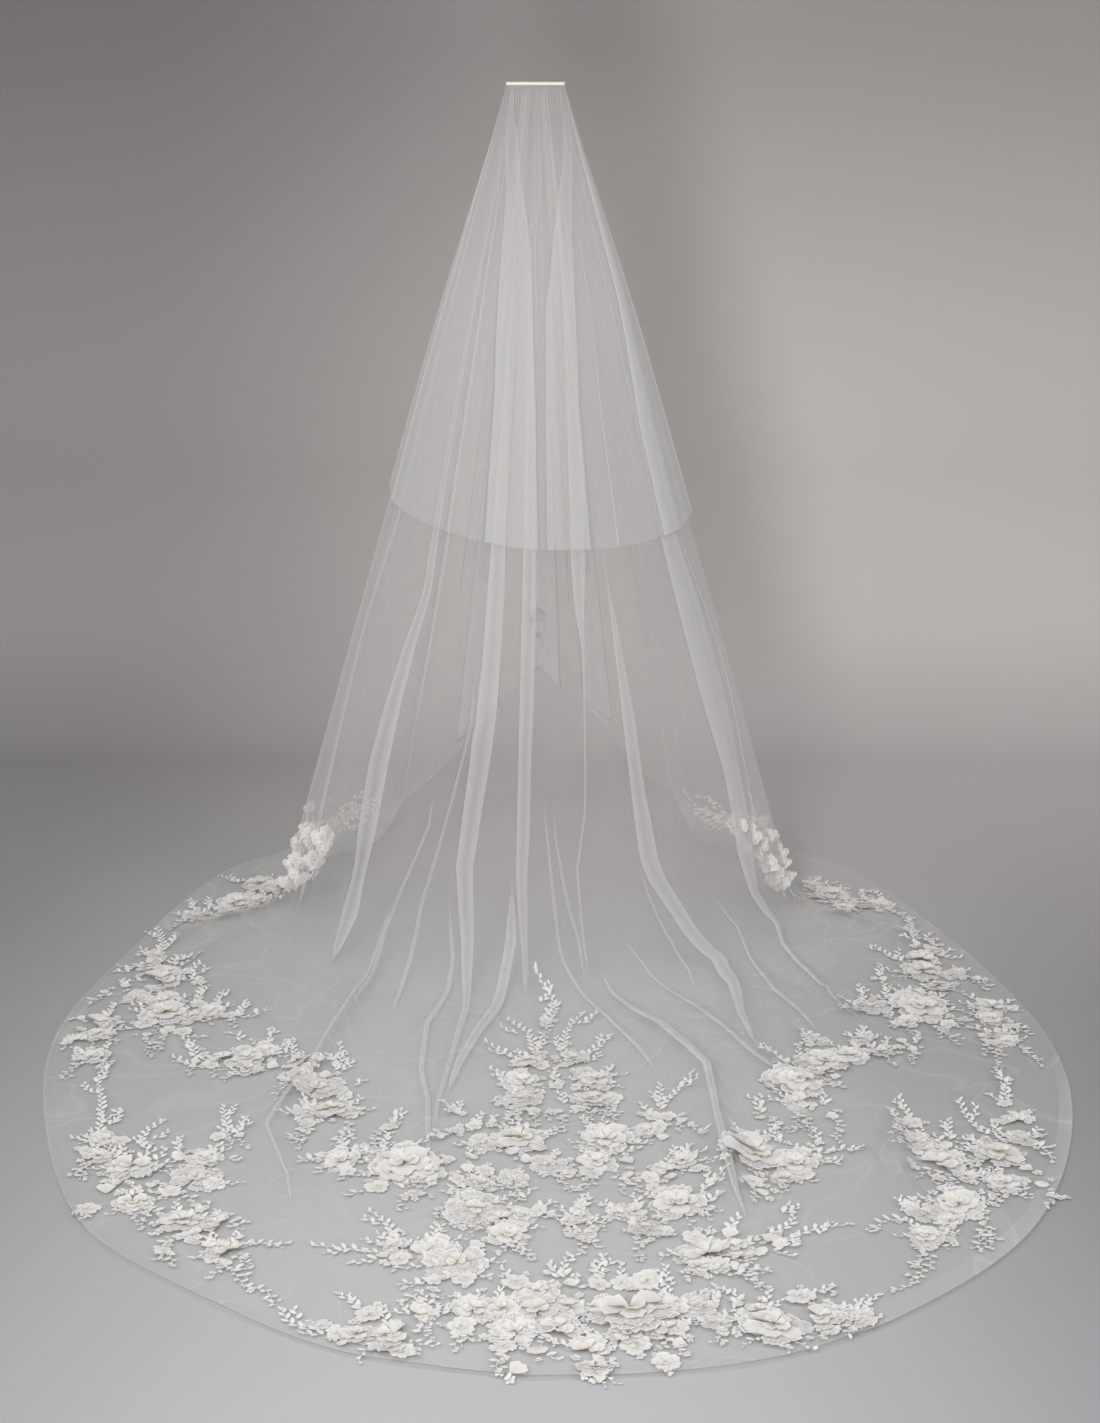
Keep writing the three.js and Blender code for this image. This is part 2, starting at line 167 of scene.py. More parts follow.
# Wraps a shader socket, so that an expression on values adds its own Math nodes
class Wire:
    def __init__(self, tree, socket=None):
        self.tree = tree
        self.socket = socket

    def node(self, kind, settings=None, sockets=None, output=0):
        made = self.tree.nodes.new(kind)
        for name, value in (settings or {}).items():
            if name == "stops":
                fillRamp(made, value)
            else:
                setattr(made, name, value)
        for name, value in (sockets or {}).items():
            if isinstance(value, Wire):
                self.tree.links.new(value.socket, made.inputs[name])
            else:
                made.inputs[name].default_value = value
        return Wire(self.tree, made.outputs[output])

    def maths(self, operation, *values):
        return self.node("ShaderNodeMath", {"operation": operation}, dict(enumerate(values)))

    def __add__(self, other):
        return self.maths("ADD", self, other)

    def __radd__(self, other):
        return self.maths("ADD", other, self)

    def __sub__(self, other):
        return self.maths("SUBTRACT", self, other)

    def __rsub__(self, other):
        return self.maths("SUBTRACT", other, self)

    def __mul__(self, other):
        return self.maths("MULTIPLY", self, other)

    def __rmul__(self, other):
        return self.maths("MULTIPLY", other, self)

    def __truediv__(self, other):
        return self.maths("DIVIDE", self, other)

    def __pow__(self, other):
        return self.maths("POWER", self, other)

    def __rpow__(self, other):
        return self.maths("POWER", other, self)

    def __abs__(self):
        return self.maths("ABSOLUTE", self)

    def sine(self):
        return self.maths("SINE", self)

    def ramp(self, low, high, first=0.0, last=1.0, settings=None):
        return self.node("ShaderNodeMapRange", settings, {0: self, 1: low, 2: high, 3: first, 4: last})

    def ease(self, low, high, first=0.0, last=1.0):
        return self.ramp(low, high, first, last, {"interpolation_type": "SMOOTHSTEP"})

    def split(self):
        made = self.tree.nodes.new("ShaderNodeSeparateXYZ")
        self.tree.links.new(self.socket, made.inputs[0])
        return [Wire(self.tree, socket) for socket in made.outputs]


def fillRamp(node, stops):
    ramp = node.color_ramp
    while len(ramp.elements) > 1:
        ramp.elements.remove(ramp.elements[-1])
    for place, (position, colour) in enumerate(stops):
        element = ramp.elements[0] if place == 0 else ramp.elements.new(position)
        element.position = position
        element.color = (*colour, 1)


def newMaterial(name):
    material = bpy.data.materials.new(name)
    material.use_nodes = True
    material.node_tree.nodes.clear()
    return material, Wire(material.node_tree)


def showShader(wire, shader):
    output = wire.tree.nodes.new("ShaderNodeOutputMaterial")
    wire.tree.links.new(shader.socket, output.inputs["Surface"])


def mixColour(wire, factor, first, second):
    return wire.node("ShaderNodeMix", {"data_type": "RGBA"}, {0: factor, 6: first, 7: second}, output=2)


def mixShader(wire, factor, first, second):
    return wire.node("ShaderNodeMixShader", None, {0: factor, 1: first, 2: second})


# Paper sweep with painted light and shade: darker at the left and top, a painted pool of light over the comb,
# a painted shadow of the veil at its right, a floor painted lighter in front, and clear when seen from behind
def paperMaterial():
    material, wire = newMaterial("paper")
    x, y, z = wire.node("ShaderNodeTexCoord", output=3).split()
    painted = ("wallLeft", "wallRight", "floorNear", "floorSide", "floorFarLeft", "floorFarRight")
    paint = {name: (*studio[name], 1) for name in painted}

    # painted light: the wall lighter towards the right and darker towards the top
    wall = mixColour(wire, x.ease(*studio["wallAcross"]), paint["wallLeft"], paint["wallRight"])
    shade = z.ease(*studio["wallFades"]) * (studio["wallTopShare"] - 1.0) + 1.0
    fromMiddle = abs(x - studio["glowMiddle"])
    # painted pool of light at the top of the wall, over the comb
    glow = z.ease(*studio["glowHeights"]) * (1 - fromMiddle.ease(*studio["glowReach"]))
    shade = shade + glow * studio["topGlow"]
    # painted soft shadow of the veil on the wall, darkening its colour
    slope, place = studio["shadowLine"]
    fromTent = abs(x + z * slope - place)
    shadow = (1 - fromTent.ease(*studio["shadowReach"])) * z.ease(*studio["shadowHeights"])
    shade = shade * (1 - shadow * studio["shadow"])
    wall = wire.node("ShaderNodeVectorMath", {"operation": "SCALE"}, {0: wall, "Scale": shade})

    # painted light: the floor lighter in front of the middle, darker at the sides and far left
    fromMiddle = abs(x - studio["floorMiddle"])
    near = mixColour(wire, fromMiddle.ease(*studio["floorReach"]), paint["floorNear"], paint["floorSide"])
    far = mixColour(wire, x.ease(*studio["farAcross"]), paint["floorFarLeft"], paint["floorFarRight"])
    floor = mixColour(wire, y.ease(*studio["floorDepth"]), near, far)
    colour = mixColour(wire, z.ease(*studio["wallFoot"]), floor, wall)
    paper = wire.node("ShaderNodeBsdfDiffuse", None, {"Color": colour})
    clear = wire.node("ShaderNodeBsdfTransparent")
    behind = wire.node("ShaderNodeNewGeometry", output=6)
    showShader(wire, mixShader(wire, behind, paper, clear))
    return material


# Sizes of the tent of cloth, in metres and degrees, as the frame has them
tent = {
    "drop": 1.5,
    "footSide": 0.486,
    "footFront": 0.430,
    "footBack": 0.330,
    "combHalf": 0.050,
    "combDepth": 0.0028,
    "squareness": 0.4,
    "gather": 0.010,  # straight gathered band under the comb
    "bandRun": 0.01,  # the run that stands for it
    "bendStart": 0.93,
    "bendEnd": 1.08,
    "clearance": 0.0008,  # cloth above the floor
    "hemFades": 0.09,  # rise of the hem over which the foot leaves the floor
    "footShare": 0.97,  # how far down to a raised hem the foot is then
    "stepAcross": 0.3,  # degrees and runs between the points that give a normal
    "stepUp": 0.003,
    "stepDown": 0.004,
}

# Hem of the long tier every 15 degrees from the front middle: left x, left y, right x, right y, rise
hemStations = np.array([
    (0.000, -1.600, 0.000, -1.600, 0.000),
    (0.235, -1.545, 0.275, -1.570, 0.000),
    (0.440, -1.415, 0.500, -1.450, 0.000),
    (0.630, -1.235, 0.705, -1.235, 0.000),
    (0.745, -0.935, 0.825, -0.920, 0.000),
    (0.790, -0.610, 0.842, -0.600, 0.000),
    (0.715, -0.225, 0.745, -0.210, 0.000),
    (0.619, 0.082, 0.640, 0.060, 0.000),
    (0.520, 0.195, 0.525, 0.195, 0.000),
    (0.400, 0.330, 0.400, 0.335, 0.000),
    (0.250, 0.360, 0.265, 0.365, 0.080),
    (0.125, 0.325, 0.140, 0.330, 0.195),
    (0.000, 0.290, 0.000, 0.290, 0.370),
])

# Drop of the short tier's hem every 30 degrees: left, right
shortStations = np.array([
    (0.772, 0.772), (0.752, 0.774), (0.728, 0.765), (0.705, 0.752),
    (0.745, 0.770), (0.870, 0.860), (0.965, 0.965),
])


def smoothStep(low, high, value):
    share = np.clip((value - low) / (high - low), 0, 1)
    return share * share * (3 - 2 * share)


# Smooth value from a table of stations with equal steps of angle
def stationValue(table, step, angle, left, right):
    turn = (angle + 180) % 360 - 180
    last = len(table) - 1
    place = np.minimum(np.abs(turn) / step, last)
    lower = np.minimum(place.astype(int), last - 1)
    share = place - lower

    def at(index):
        row = np.clip(index, 0, last)
        return np.where(turn < 0, table[row, left], table[row, right])

    a, b, c, d = at(lower - 1), at(lower), at(lower + 1), at(lower + 2)
    inner = 2 * b + (c - a) * share + (2 * a - 5 * b + 4 * c - d) * share ** 2
    return 0.5 * (inner + (3 * b - a - 3 * c + d) * share ** 3)


def stack(x, y, z):
    return np.stack(np.broadcast_arrays(x, y, z), axis=-1)


def hemPoint(angle):
    turn = (angle + 180) % 360 - 180
    x = stationValue(hemStations, 15, angle, 0, 2) * np.sign(turn)
    y = stationValue(hemStations, 15, angle, 1, 3)
    rise = np.maximum(0, stationValue(hemStations, 15, angle, 4, 4))
    return stack(x, y, rise - tent["drop"])


def gatherPoint(angle, z):
    a = np.radians(angle)
    depth = np.sign(np.cos(a)) * np.abs(np.cos(a)) ** tent["squareness"]
    return stack(tent["combHalf"] * np.sin(a), -tent["combDepth"] * depth, z)


def footPoint(angle):
    a = np.radians(angle)
    reach = np.where(np.cos(a) > 0, tent["footFront"], tent["footBack"])
    onFloor = stack(tent["footSide"] * np.sin(a), -reach * np.cos(a), -tent["drop"])
    hem = hemPoint(angle)
    gather = gatherPoint(angle, -tent["gather"])
    aboveHem = gather + (hem - gather) * tent["footShare"]
    off = smoothStep(0, tent["hemFades"], hem[..., 2:3] + tent["drop"])
    return onFloor + (aboveHem - onFloor) * off


# Bare cloth at an angle round the comb. The run is below 0 on the gathered band, 0 to 1 down
# the slope and 1 to 2 over the floor, and the reach stretches a column along its own line
def barePoint(angle, run, reach=1.0):
    angle, run, reach = np.broadcast_arrays(angle, run, np.asarray(reach, float))
    start, end = tent["bendStart"], tent["bendEnd"]
    gather = gatherPoint(angle, -tent["gather"])
    foot = footPoint(angle)
    hem = hemPoint(angle)
    bendTop = gather + (foot - gather) * start
    bendLow = foot + (hem - foot) * (end - 1)
    slope = gather + (foot - gather) * np.clip(run, 0, start)[..., None]
    turn = np.clip((run - start) / (end - start), 0, 1)[..., None]
    bend = bendTop * (1 - turn) ** 2 + foot * 2 * turn * (1 - turn) + bendLow * turn ** 2
    level = foot + (hem - foot) * (run - 1)[..., None]
    point = np.where((run < start)[..., None], slope, np.where((run < end)[..., None], bend, level))
    point = gather + (point - gather) * reach[..., None]
    bandShare = 1 + np.clip(run, -tent["bandRun"], 0) / tent["bandRun"]
    band = gatherPoint(angle, -tent["gather"] * bandShare)
    return np.where((run < 0)[..., None], band, point)


def bareNormal(angle, run, reach=1.0):
    aside, up, low = tent["stepAcross"], tent["stepUp"], tent["stepDown"]
    across = barePoint(angle + aside, run, reach) - barePoint(angle - aside, run, reach)
    high = np.where(run < up, up, run)
    down = barePoint(angle, np.minimum(high + low, 2), reach) - barePoint(angle, high - up, reach)
    normal = np.cross(down, across)
    return normal / np.maximum(np.linalg.norm(normal, axis=-1, keepdims=True), 1e-9)


# Smooth noise from 0 to 1 on a lattice, the same each run
def softNoise(x, y, seed):
    size = 257
    lattice = np.random.default_rng(seed).random((size, size))
    column = np.floor(x).astype(int)
    row = np.floor(y).astype(int)
    u = x - column
    v = y - row
    u = u * u * (3 - 2 * u)
    v = v * v * (3 - 2 * v)

    def across(line):
        left = lattice[line % size, column % size]
        right = lattice[line % size, (column + 1) % size]
        return left * (1 - u) + right * u

    return across(row) * (1 - v) + across(row + 1) * v


# Folds of the long tier, from left to right: rows of run, left edge and right edge in degrees,
# space between the doubled layers, and height off the floor as rows of run and metres. A fold that
# lies open has a share by which its layers are sheerer between their turned edges, and an edge
# below 1 turns over softly
longFolds = [
    {"name": "sideFarLeft", "layer": 0.0012,
     "rows": [(-0.01, -111, -110.4), (0.5, -108, -107.2), (1.0, -106, -105)]},
    {"name": "sideLeft", "layer": 0.0012, "rows": [(-0.01, -90, -89.4), (0.4, -88, -87), (0.95, -86, -84)]},
    {"name": "farLeft", "layer": 0.0014,
     "rows": [(-0.01, -70, -69.4), (0.5, -66, -65.2), (0.63, -70.4, -69.6), (0.9, -67, -65.8),
              (1.0, -66, -65)]},
    {"name": "broadLeft", "layer": 0.0022, "open": 0.09,
     "rows": [(-0.01, -46, -44.5), (0.4, -42, -40), (0.57, -40.6, -37.4), (0.63, -44.6, -40),
              (0.70, -47.9, -41.4), (0.77, -49.7, -42), (0.84, -48.6, -41.9), (0.90, -46.6, -42.8),
              (0.95, -47.4, -42.1), (1.0, -46.5, -43.8), (1.06, -46.5, -45.5)],
     "lift": [(0.9, 0), (0.98, 0.010), (1.06, 0.003)]},
    {"name": "thinLeft", "layer": 0.0014,
     "rows": [(-0.01, -38, -37.4), (0.15, -37.2, -36.7), (0.28, -34.8, -34.3), (0.41, -33.8, -33.2),
              (0.61, -34.8, -34.2), (0.74, -35.6, -35.1)]},
    {"name": "bigLeft", "layer": 0.0030, "open": 0.0,
     "rows": [(0.91, -35.8, -35.2), (0.97, -38.8, -36), (1.03, -42.3, -37.6), (1.10, -43.8, -39.2),
              (1.19, -44, -40.6), (1.28, -43.3, -41.6), (1.34, -43.3, -42.4), (1.41, -41.5, -40.7),
              (1.51, -38.4, -37.6), (1.59, -34.5, -33.8), (1.68, -28.5, -27.9), (1.75, -26, -25.4)],
     "lift": [(0.93, 0), (1.03, 0.020), (1.15, 0.024), (1.28, 0.020), (1.36, 0.010), (1.50, 0.012),
              (1.7, 0)]},
    {"name": "secondLeft", "layer": 0.0014,
     "rows": [(0.78, -26.8, -26.3), (0.83, -27.2, -26.6), (0.91, -32.4, -31.8), (0.94, -33.7, -33.1),
              (1.06, -35.3, -34.6), (1.18, -36.2, -35.6)], "lift": [(0.95, 0), (1.04, 0.006), (1.18, 0)]},
    {"name": "slantLeft", "layer": 0.0016,
     "rows": [(0.64, -18.1, -17.7), (0.71, -18.3, -17.8), (0.80, -21.8, -21.2), (0.89, -25.4, -24.7),
              (0.92, -26.8, -26), (1.04, -27.4, -26.6), (1.16, -26.6, -26)],
     "lift": [(0.94, 0), (1.04, 0.007), (1.16, 0)]},
    {"name": "lowLeft", "layer": 0.0018,
     "rows": [(0.90, -20.2, -19.7), (0.98, -17.8, -17.1), (1.06, -17.6, -16.8), (1.17, -19.3, -18.4),
              (1.32, -17.3, -16.5), (1.40, -14.9, -14.2), (1.57, -12.4, -11.9), (1.63, -12, -11.6)],
     "lift": [(0.95, 0), (1.06, 0.008), (1.3, 0.009), (1.5, 0.004), (1.63, 0)]},
    {"name": "innerLeft", "layer": 0.0024,
     "rows": [(-0.01, -19, -18), (0.2, -17.8, -15), (0.4, -17.4, -12), (0.56, -17, -10.1),
              (0.61, -17.2, -10.3), (0.68, -17.4, -10.6), (0.74, -17.2, -11.7), (0.80, -18, -13.2),
              (0.87, -18.7, -14.5), (0.96, -15.8, -13.1), (1.10, -13.4, -12.2), (1.22, -13.4, -12.6),
              (1.40, -13.4, -12.9), (1.48, -12.8, -12.3)],
     "lift": [(0.93, 0), (1.02, 0.010), (1.2, 0.006), (1.4, 0.005), (1.48, 0)]},
    {"name": "broadShadow", "layer": 0.0016,
     "rows": [(0.87, -5.6, -5.1), (0.95, -6.4, -4), (1.0, -7.2, -5), (1.09, -8.4, -6.2),
              (1.18, -10.6, -9), (1.28, -12.1, -11), (1.38, -12.6, -12.1)],
     "lift": [(0.93, 0), (1.05, 0.010), (1.25, 0.008), (1.38, 0)]},
    {"name": "middle", "layer": 0.0024,
     "rows": [(-0.01, -7.6, -5), (0.3, -8.6, -1), (0.51, -9, 0.2), (0.59, -8.6, 0.1), (0.68, -8.8, -0.5),
              (0.75, -7.9, -1.2), (0.83, -6, -1.4), (0.88, -4.4, -2), (0.97, -2.8, -1.6),
              (1.06, -2.3, -1.8)], "lift": [(0.93, 0), (0.99, 0.005), (1.06, 0)]},
    {"name": "slantRight", "layer": 0.0016,
     "rows": [(0.78, 2.0, 2.4), (0.81, 2.1, 2.6), (0.89, 3.5, 4.1), (0.97, 4.9, 5.5), (1.01, 6.8, 7.5),
              (1.12, 11.6, 12.4), (1.24, 15.6, 16.4), (1.32, 17.2, 17.6)],
     "lift": [(0.95, 0), (1.05, 0.008), (1.2, 0.007), (1.32, 0)]},
    {"name": "thinMiddle", "layer": 0.0014,
     "rows": [(0.79, 4.3, 4.7), (0.83, 4.4, 4.9), (0.90, 6.5, 7.1), (0.95, 8.9, 9.4), (1.02, 9.8, 10.3)]},
    {"name": "strip", "layer": 0.0016,
     "rows": [(-0.01, 20, 23), (0.2, 18, 22), (0.43, 13.6, 20.5), (0.52, 12.4, 18), (0.58, 12.8, 16),
              (0.62, 14.4, 15.2), (0.69, 13.6, 14.1), (0.80, 12.2, 12.7), (0.87, 9.3, 9.9),
              (0.95, 9.9, 10.4), (1.02, 10.8, 11.3)]},
    {"name": "strongRight", "layer": 0.0028, "open": 0.12,
     "rows": [(0.99, 12.8, 13.3), (1.07, 14.5, 15.7), (1.14, 17, 18.4), (1.19, 19.6, 21.2),
              (1.27, 22, 23.6), (1.34, 23.6, 25), (1.46, 21.8, 22.8), (1.56, 20.5, 21.7),
              (1.66, 19.7, 20.4), (1.74, 19.4, 20)],
     "lift": [(1.0, 0), (1.1, 0.012), (1.2, 0.022), (1.34, 0.022), (1.5, 0.016), (1.66, 0.008), (1.74, 0)]},
    {"name": "slopeRight", "layer": 0.0016,
     "rows": [(0.94, 17.6, 18.2), (0.99, 21.6, 22.2), (1.06, 25.2, 25.9), (1.14, 28.6, 29.4),
              (1.21, 30.6, 31.4), (1.34, 32.5, 33.4), (1.44, 35.6, 36.3), (1.52, 36.8, 37.4)],
     "lift": [(0.96, 0), (1.1, 0.008), (1.35, 0.008), (1.52, 0)]},
    {"name": "thinRight", "layer": 0.0014,
     "rows": [(0.86, 23.6, 24.1), (0.91, 26, 26.6), (0.97, 29.7, 30.3), (1.03, 31.8, 32.4),
              (1.10, 31.6, 32.1)], "lift": [(0.96, 0), (1.03, 0.005), (1.1, 0)]},
    {"name": "innerRight", "layer": 0.0024,
     "rows": [(-0.01, 27, 28), (0.3, 24, 25), (0.50, 22.3, 23), (0.59, 22.7, 26.8), (0.70, 23.2, 28.7),
              (0.78, 23.8, 28.8), (0.88, 25.2, 30.2), (0.93, 30.6, 34.8), (1.03, 37.6, 41.4),
              (1.11, 37.6, 40.6), (1.20, 35.1, 36.8), (1.30, 33.6, 34.3), (1.38, 33.9, 34.4)],
     "lift": [(0.92, 0), (1.0, 0.014), (1.15, 0.014), (1.3, 0.006), (1.38, 0)]},
    {"name": "lowRight", "layer": 0.0018,
     "rows": [(0.91, 42.6, 43.2), (0.98, 47.9, 48.7), (1.07, 46.8, 47.8), (1.18, 44.9, 45.9),
              (1.27, 45.6, 46.4), (1.36, 45, 45.6)],
     "lift": [(0.93, 0), (1.03, 0.010), (1.2, 0.009), (1.36, 0)]},
    {"name": "broadRight", "layer": 0.0022, "open": 0.05,
     "rows": [(-0.01, 56, 57), (0.3, 54, 55.4), (0.50, 52.5, 63), (0.60, 53.5, 71), (0.69, 54.7, 72.4),
              (0.74, 56, 71.4), (0.79, 57.4, 67.5), (0.85, 56.5, 64.8), (0.89, 55.3, 63),
              (0.94, 56, 59.4), (1.01, 60, 61.8), (1.14, 55.7, 57), (1.25, 54.2, 55.2), (1.34, 53, 53.6),
              (1.42, 52.6, 53)], "lift": [(0.9, 0), (1.0, 0.012), (1.15, 0.010), (1.3, 0.005), (1.42, 0)]},
    {"name": "sideRight", "layer": 0.0014,
     "rows": [(-0.01, 74, 74.6), (0.3, 71.4, 72), (0.52, 68.4, 69), (0.59, 72.2, 72.9), (0.66, 76.4, 77),
              (0.71, 76.2, 76.9), (0.76, 73.6, 74.3), (0.85, 69.2, 69.8), (0.93, 66, 66.6)]},
    {"name": "sideFarRight", "layer": 0.0012, "rows": [(-0.01, 92, 92.6), (0.5, 90, 91), (1.0, 88, 89.2)]},
    {"name": "sideBackRight", "layer": 0.0014,
     "rows": [(-0.01, 119, 120), (0.5, 118, 120), (1.02, 117, 119)]},
    {"name": "nearCascade", "layer": 0.0012, "rows": [(-0.01, 146, 147), (0.6, 147, 149), (1.1, 148, 149)]},
    {"name": "cascadeRight", "layer": 0.004, "rows": [(-0.01, 162.7, 169.6), (2.01, 162.7, 169.6)],
     "hem": (1.262, 1.215)},
    {"name": "arch", "layer": 0.004, "rows": [(-0.01, 174, 183), (2.01, 174, 183)], "hem": (1.02, 1.13)},
    {"name": "cascadeLeft", "layer": 0.004, "rows": [(-0.01, 190, 201), (2.01, 190, 201)],
     "hem": (1.245, 1.303)},
    {"name": "sideBackLeft", "layer": 0.0014,
     "rows": [(-0.01, 214, 215), (0.6, 213, 215), (1.1, 212, 213)]},
]

# Folds of the short tier
shortFolds = [
    {"name": "sideFarLeft", "layer": 0.0012,
     "rows": [(-0.01, -104, -103.4), (0.3, -98, -97.2), (0.7, -97, -96)]},
    {"name": "edgeLeft", "layer": 0.0012, "rows": [(-0.01, -82, -81.2), (0.3, -72, -71), (0.7, -69, -68)]},
    {"name": "crispLeft", "layer": 0.0015,
     "rows": [(-0.01, -64, -63), (0.05, -53, -52.3), (0.15, -37.6, -36.8), (0.28, -35, -34.2),
              (0.41, -34, -33.1), (0.7, -33.6, -32.7)]},
    {"name": "panelLeft", "layer": 0.0022, "open": 0.10, "edge": 0.15,
     "rows": [(-0.01, -58, -50), (0.04, -49.5, -34), (0.055, -46, -24.5), (0.13, -30, -12),
              (0.17, -27.8, -6.1), (0.21, -26.6, -2.4), (0.28, -24.1, -1.2), (0.41, -20.1, 0.6),
              (0.7, -18, 1.8)]},
    {"name": "thinMiddle", "layer": 0.0015,
     "rows": [(0.0, 24, 24.6), (0.04, 17, 17.8), (0.08, 8.4, 9.1), (0.15, 2.6, 3.3), (0.20, -0.6, 0),
              (0.27, 0.2, 0.8), (0.36, 1.2, 1.7)]},
    {"name": "panelRight", "layer": 0.0024, "open": 0.10, "edge": 0.15,
     "rows": [(-0.01, 54, 66), (0.05, 42.6, 62.6), (0.10, 30, 46), (0.14, 20.8, 37), (0.19, 14, 30.5),
              (0.26, 7.5, 26.4), (0.29, 5.4, 25), (0.41, 4.2, 21.1), (0.7, 3.4, 19.6)]},
    {"name": "thinRight", "layer": 0.0012,
     "rows": [(0.16, 38.6, 39.1), (0.22, 35.2, 35.8), (0.28, 34.4, 35), (0.41, 31, 31.6),
              (0.7, 29.6, 30.2)]},
    {"name": "diagonal", "layer": 0.0022, "open": -0.04,
     "rows": [(-0.01, 74, 80), (0.09, 64, 74), (0.2, 61, 73), (0.27, 60, 72), (0.34, 57, 69),
              (0.45, 52.6, 64.2), (0.7, 52.5, 65.2)]},
    {"name": "edgeRight", "layer": 0.0012, "rows": [(-0.01, 88, 88.8), (0.3, 84, 85), (0.7, 83, 84)]},
    {"name": "sideBackRight", "layer": 0.0014,
     "rows": [(-0.01, 112, 113), (0.3, 113, 114.4), (0.7, 113, 115)]},
    {"name": "nearFlap", "layer": 0.0014, "rows": [(-0.01, 138, 139), (0.3, 139, 141), (0.8, 139, 141.6)]},
    {"name": "flapRight", "layer": 0.003, "rows": [(-0.01, 165, 171.5), (2, 165, 171.5)],
     "hem": (1.0, 0.93)},
    {"name": "flapLeft", "layer": 0.003, "rows": [(-0.01, 195, 205.5), (2, 195, 205.5)],
     "hem": (0.972, 0.962)},
    {"name": "sideBackLeft", "layer": 0.0014, "rows": [(-0.01, 218, 219), (0.7, 217, 219)]},
]

foldPath = {                       # one fold's columns: folded place, flat place and layer
    "place": np.array([0, 0.5, 0.94, 1.0, 0.94, 0.5, 0.06, 0.0, 0.06, 0.5, 1.0]),
    "flat": np.linspace(0, 1, 11),
    "layer": np.array([0, 0, 0.15, 0.5, 0.85, 1.0, 1.15, 1.5, 1.85, 2.0, 2.0]),
}

cloth = {
    "ringStart": -135.0,  # degrees where the ring of columns starts
    "leastGap": 0.45,  # degrees between two folds
    "recover": 3.5,  # degrees in which the cloth comes back down beside a fold
    "wave": 0.006,
    "fineWave": 0.0018,
    "pleat": 0.0007,  # depth of the fine gathers under the comb
    "pleatStep": 5.0,  # degrees from one gather to the next
    "pleatEnd": 0.08,  # run where the gathers have run out
    "seed": 11,
    "broadScale": (7.0, 0.45),  # degrees to a wave, and waves to a run
    "broadStart": (40, 3),
    "fineScale": (2.4, 0.7),
    "fineStart": (90, 5),
    "waveStarts": (0.02, 0.5),  # runs between which the waves set in
    "flatStarts": (0.95, 1.1),  # runs between which the floor flattens them
    "flattened": 0.6,
    "ease": 0.05,  # run over which a fold opens and closes
    "spentHalf": 0.45,  # degrees that half a fold takes up where it lies flat
    "leastWidth": 0.3,
    "tightRun": 0.16,  # run over which a fold's layers come apart under the comb
    "tightShare": 0.12,
    "usualWidth": 80,  # percentile of a gap's width that sets its columns
    "turns": (0.5, 1.5),  # layers at which a fold turns over
    "besideTurn": 0.3,  # crease next to a turned edge
    "sheerer": 0.05,  # share by which a fold's layers are sheerer inside
    "liftShares": (0.35, 0.65),  # where a fold stands highest, from its left and right edges
    "liftReach": (1.5, 0.8),  # degrees that the lift goes on past the edges
    "taperShare": 0.22,  # ends of a floor crease
    "taperPower": 0.7,
    "hemBeside": 7,  # degrees beside a fold with a hem of its own that follow it
    "uvScale": 10,  # degrees round the comb to one unit of the map
}


# Left and right edges of every fold at every run, kept in order, and how far each has folded
def foldEdges(folds, runs):
    left = np.array([np.interp(runs, *zip(*[(r, a) for r, a, b in fold["rows"]])) for fold in folds])
    right = np.array([np.interp(runs, *zip(*[(r, b) for r, a, b in fold["rows"]])) for fold in folds])
    ease = cloth["ease"]
    active = []
    for fold in folds:
        first, last = fold["rows"][0][0], fold["rows"][-1][0]
        rising = 1.0 if first <= 0 else smoothStep(first, first + ease, runs)
        active.append(rising * (1 - smoothStep(last - ease, last, runs)) * np.ones_like(runs))
    active = np.array(active)
    middle = (left + right) / 2
    half = np.maximum((right - left) / 2, cloth["spentHalf"] * (1 - active))
    left, right = middle - half, middle + half
    for i in range(1, len(folds)):
        left[i] = np.maximum(left[i], right[i - 1] + cloth["leastGap"])
        right[i] = np.maximum(right[i], left[i] + cloth["leastWidth"])
    return left, right, active


# Angle, offset and hem marks of every column of a tier, as grids of run by column
def tierColumns(folds, runs, plainStep):
    left, right, active = foldEdges(folds, runs)
    rows = len(runs)
    angles, offsets, marks, creases = [], [], [], []
    tight = cloth["tightShare"]
    spread = smoothStep(0.0, cloth["tightRun"], runs) * (1 - tight) + tight
    edges = [np.full(rows, cloth["ringStart"]), *right]
    for i in range(len(folds) + 1):
        low = edges[i]
        high = left[i] if i < len(folds) else np.full(rows, cloth["ringStart"] + 360)
        count = max(2, math.ceil(np.percentile(high - low, cloth["usualWidth"]) / plainStep))
        first = 0 if i == 0 else 1
        for k in range(first, count):
            angles.append(low + (high - low) * k / count)
            offsets.append(np.zeros(rows))
            creases.append(np.zeros(rows))
            marks.append(None)
        if i == len(folds):
            break
        fold = folds[i]
        for place, flat, layer in zip(*foldPath.values()):
            share = active[i] * place + (1 - active[i]) * flat
            angles.append(left[i] + (right[i] - left[i]) * share)
            offsets.append(active[i] * layer * fold["layer"] * spread)
            if layer in cloth["turns"]:
                crease = fold.get("edge", 1.0)
            elif layer % 1:
                crease = fold.get("edge", 1.0) * cloth["besideTurn"]
            else:
                crease = -fold.get("open", cloth["sheerer"])
            creases.append(active[i] * crease)
            marks.append((i, place, layer))
    angles, offsets = np.array(angles).T, np.array(offsets).T
    for i, fold in enumerate(folds):       # the cloth beside a fold comes down from its top layer
        last = max(k for k, mark in enumerate(marks) if mark and mark[0] == i)
        top = (active[i] * 2 * fold["layer"] * spread)[:, None]
        away = angles[:, last + 1:] - right[i][:, None]
        offsets[:, last + 1:] += top * (1 - smoothStep(0, cloth["recover"], away))
    return angles, offsets, marks, (left, right, active), np.array(creases).T


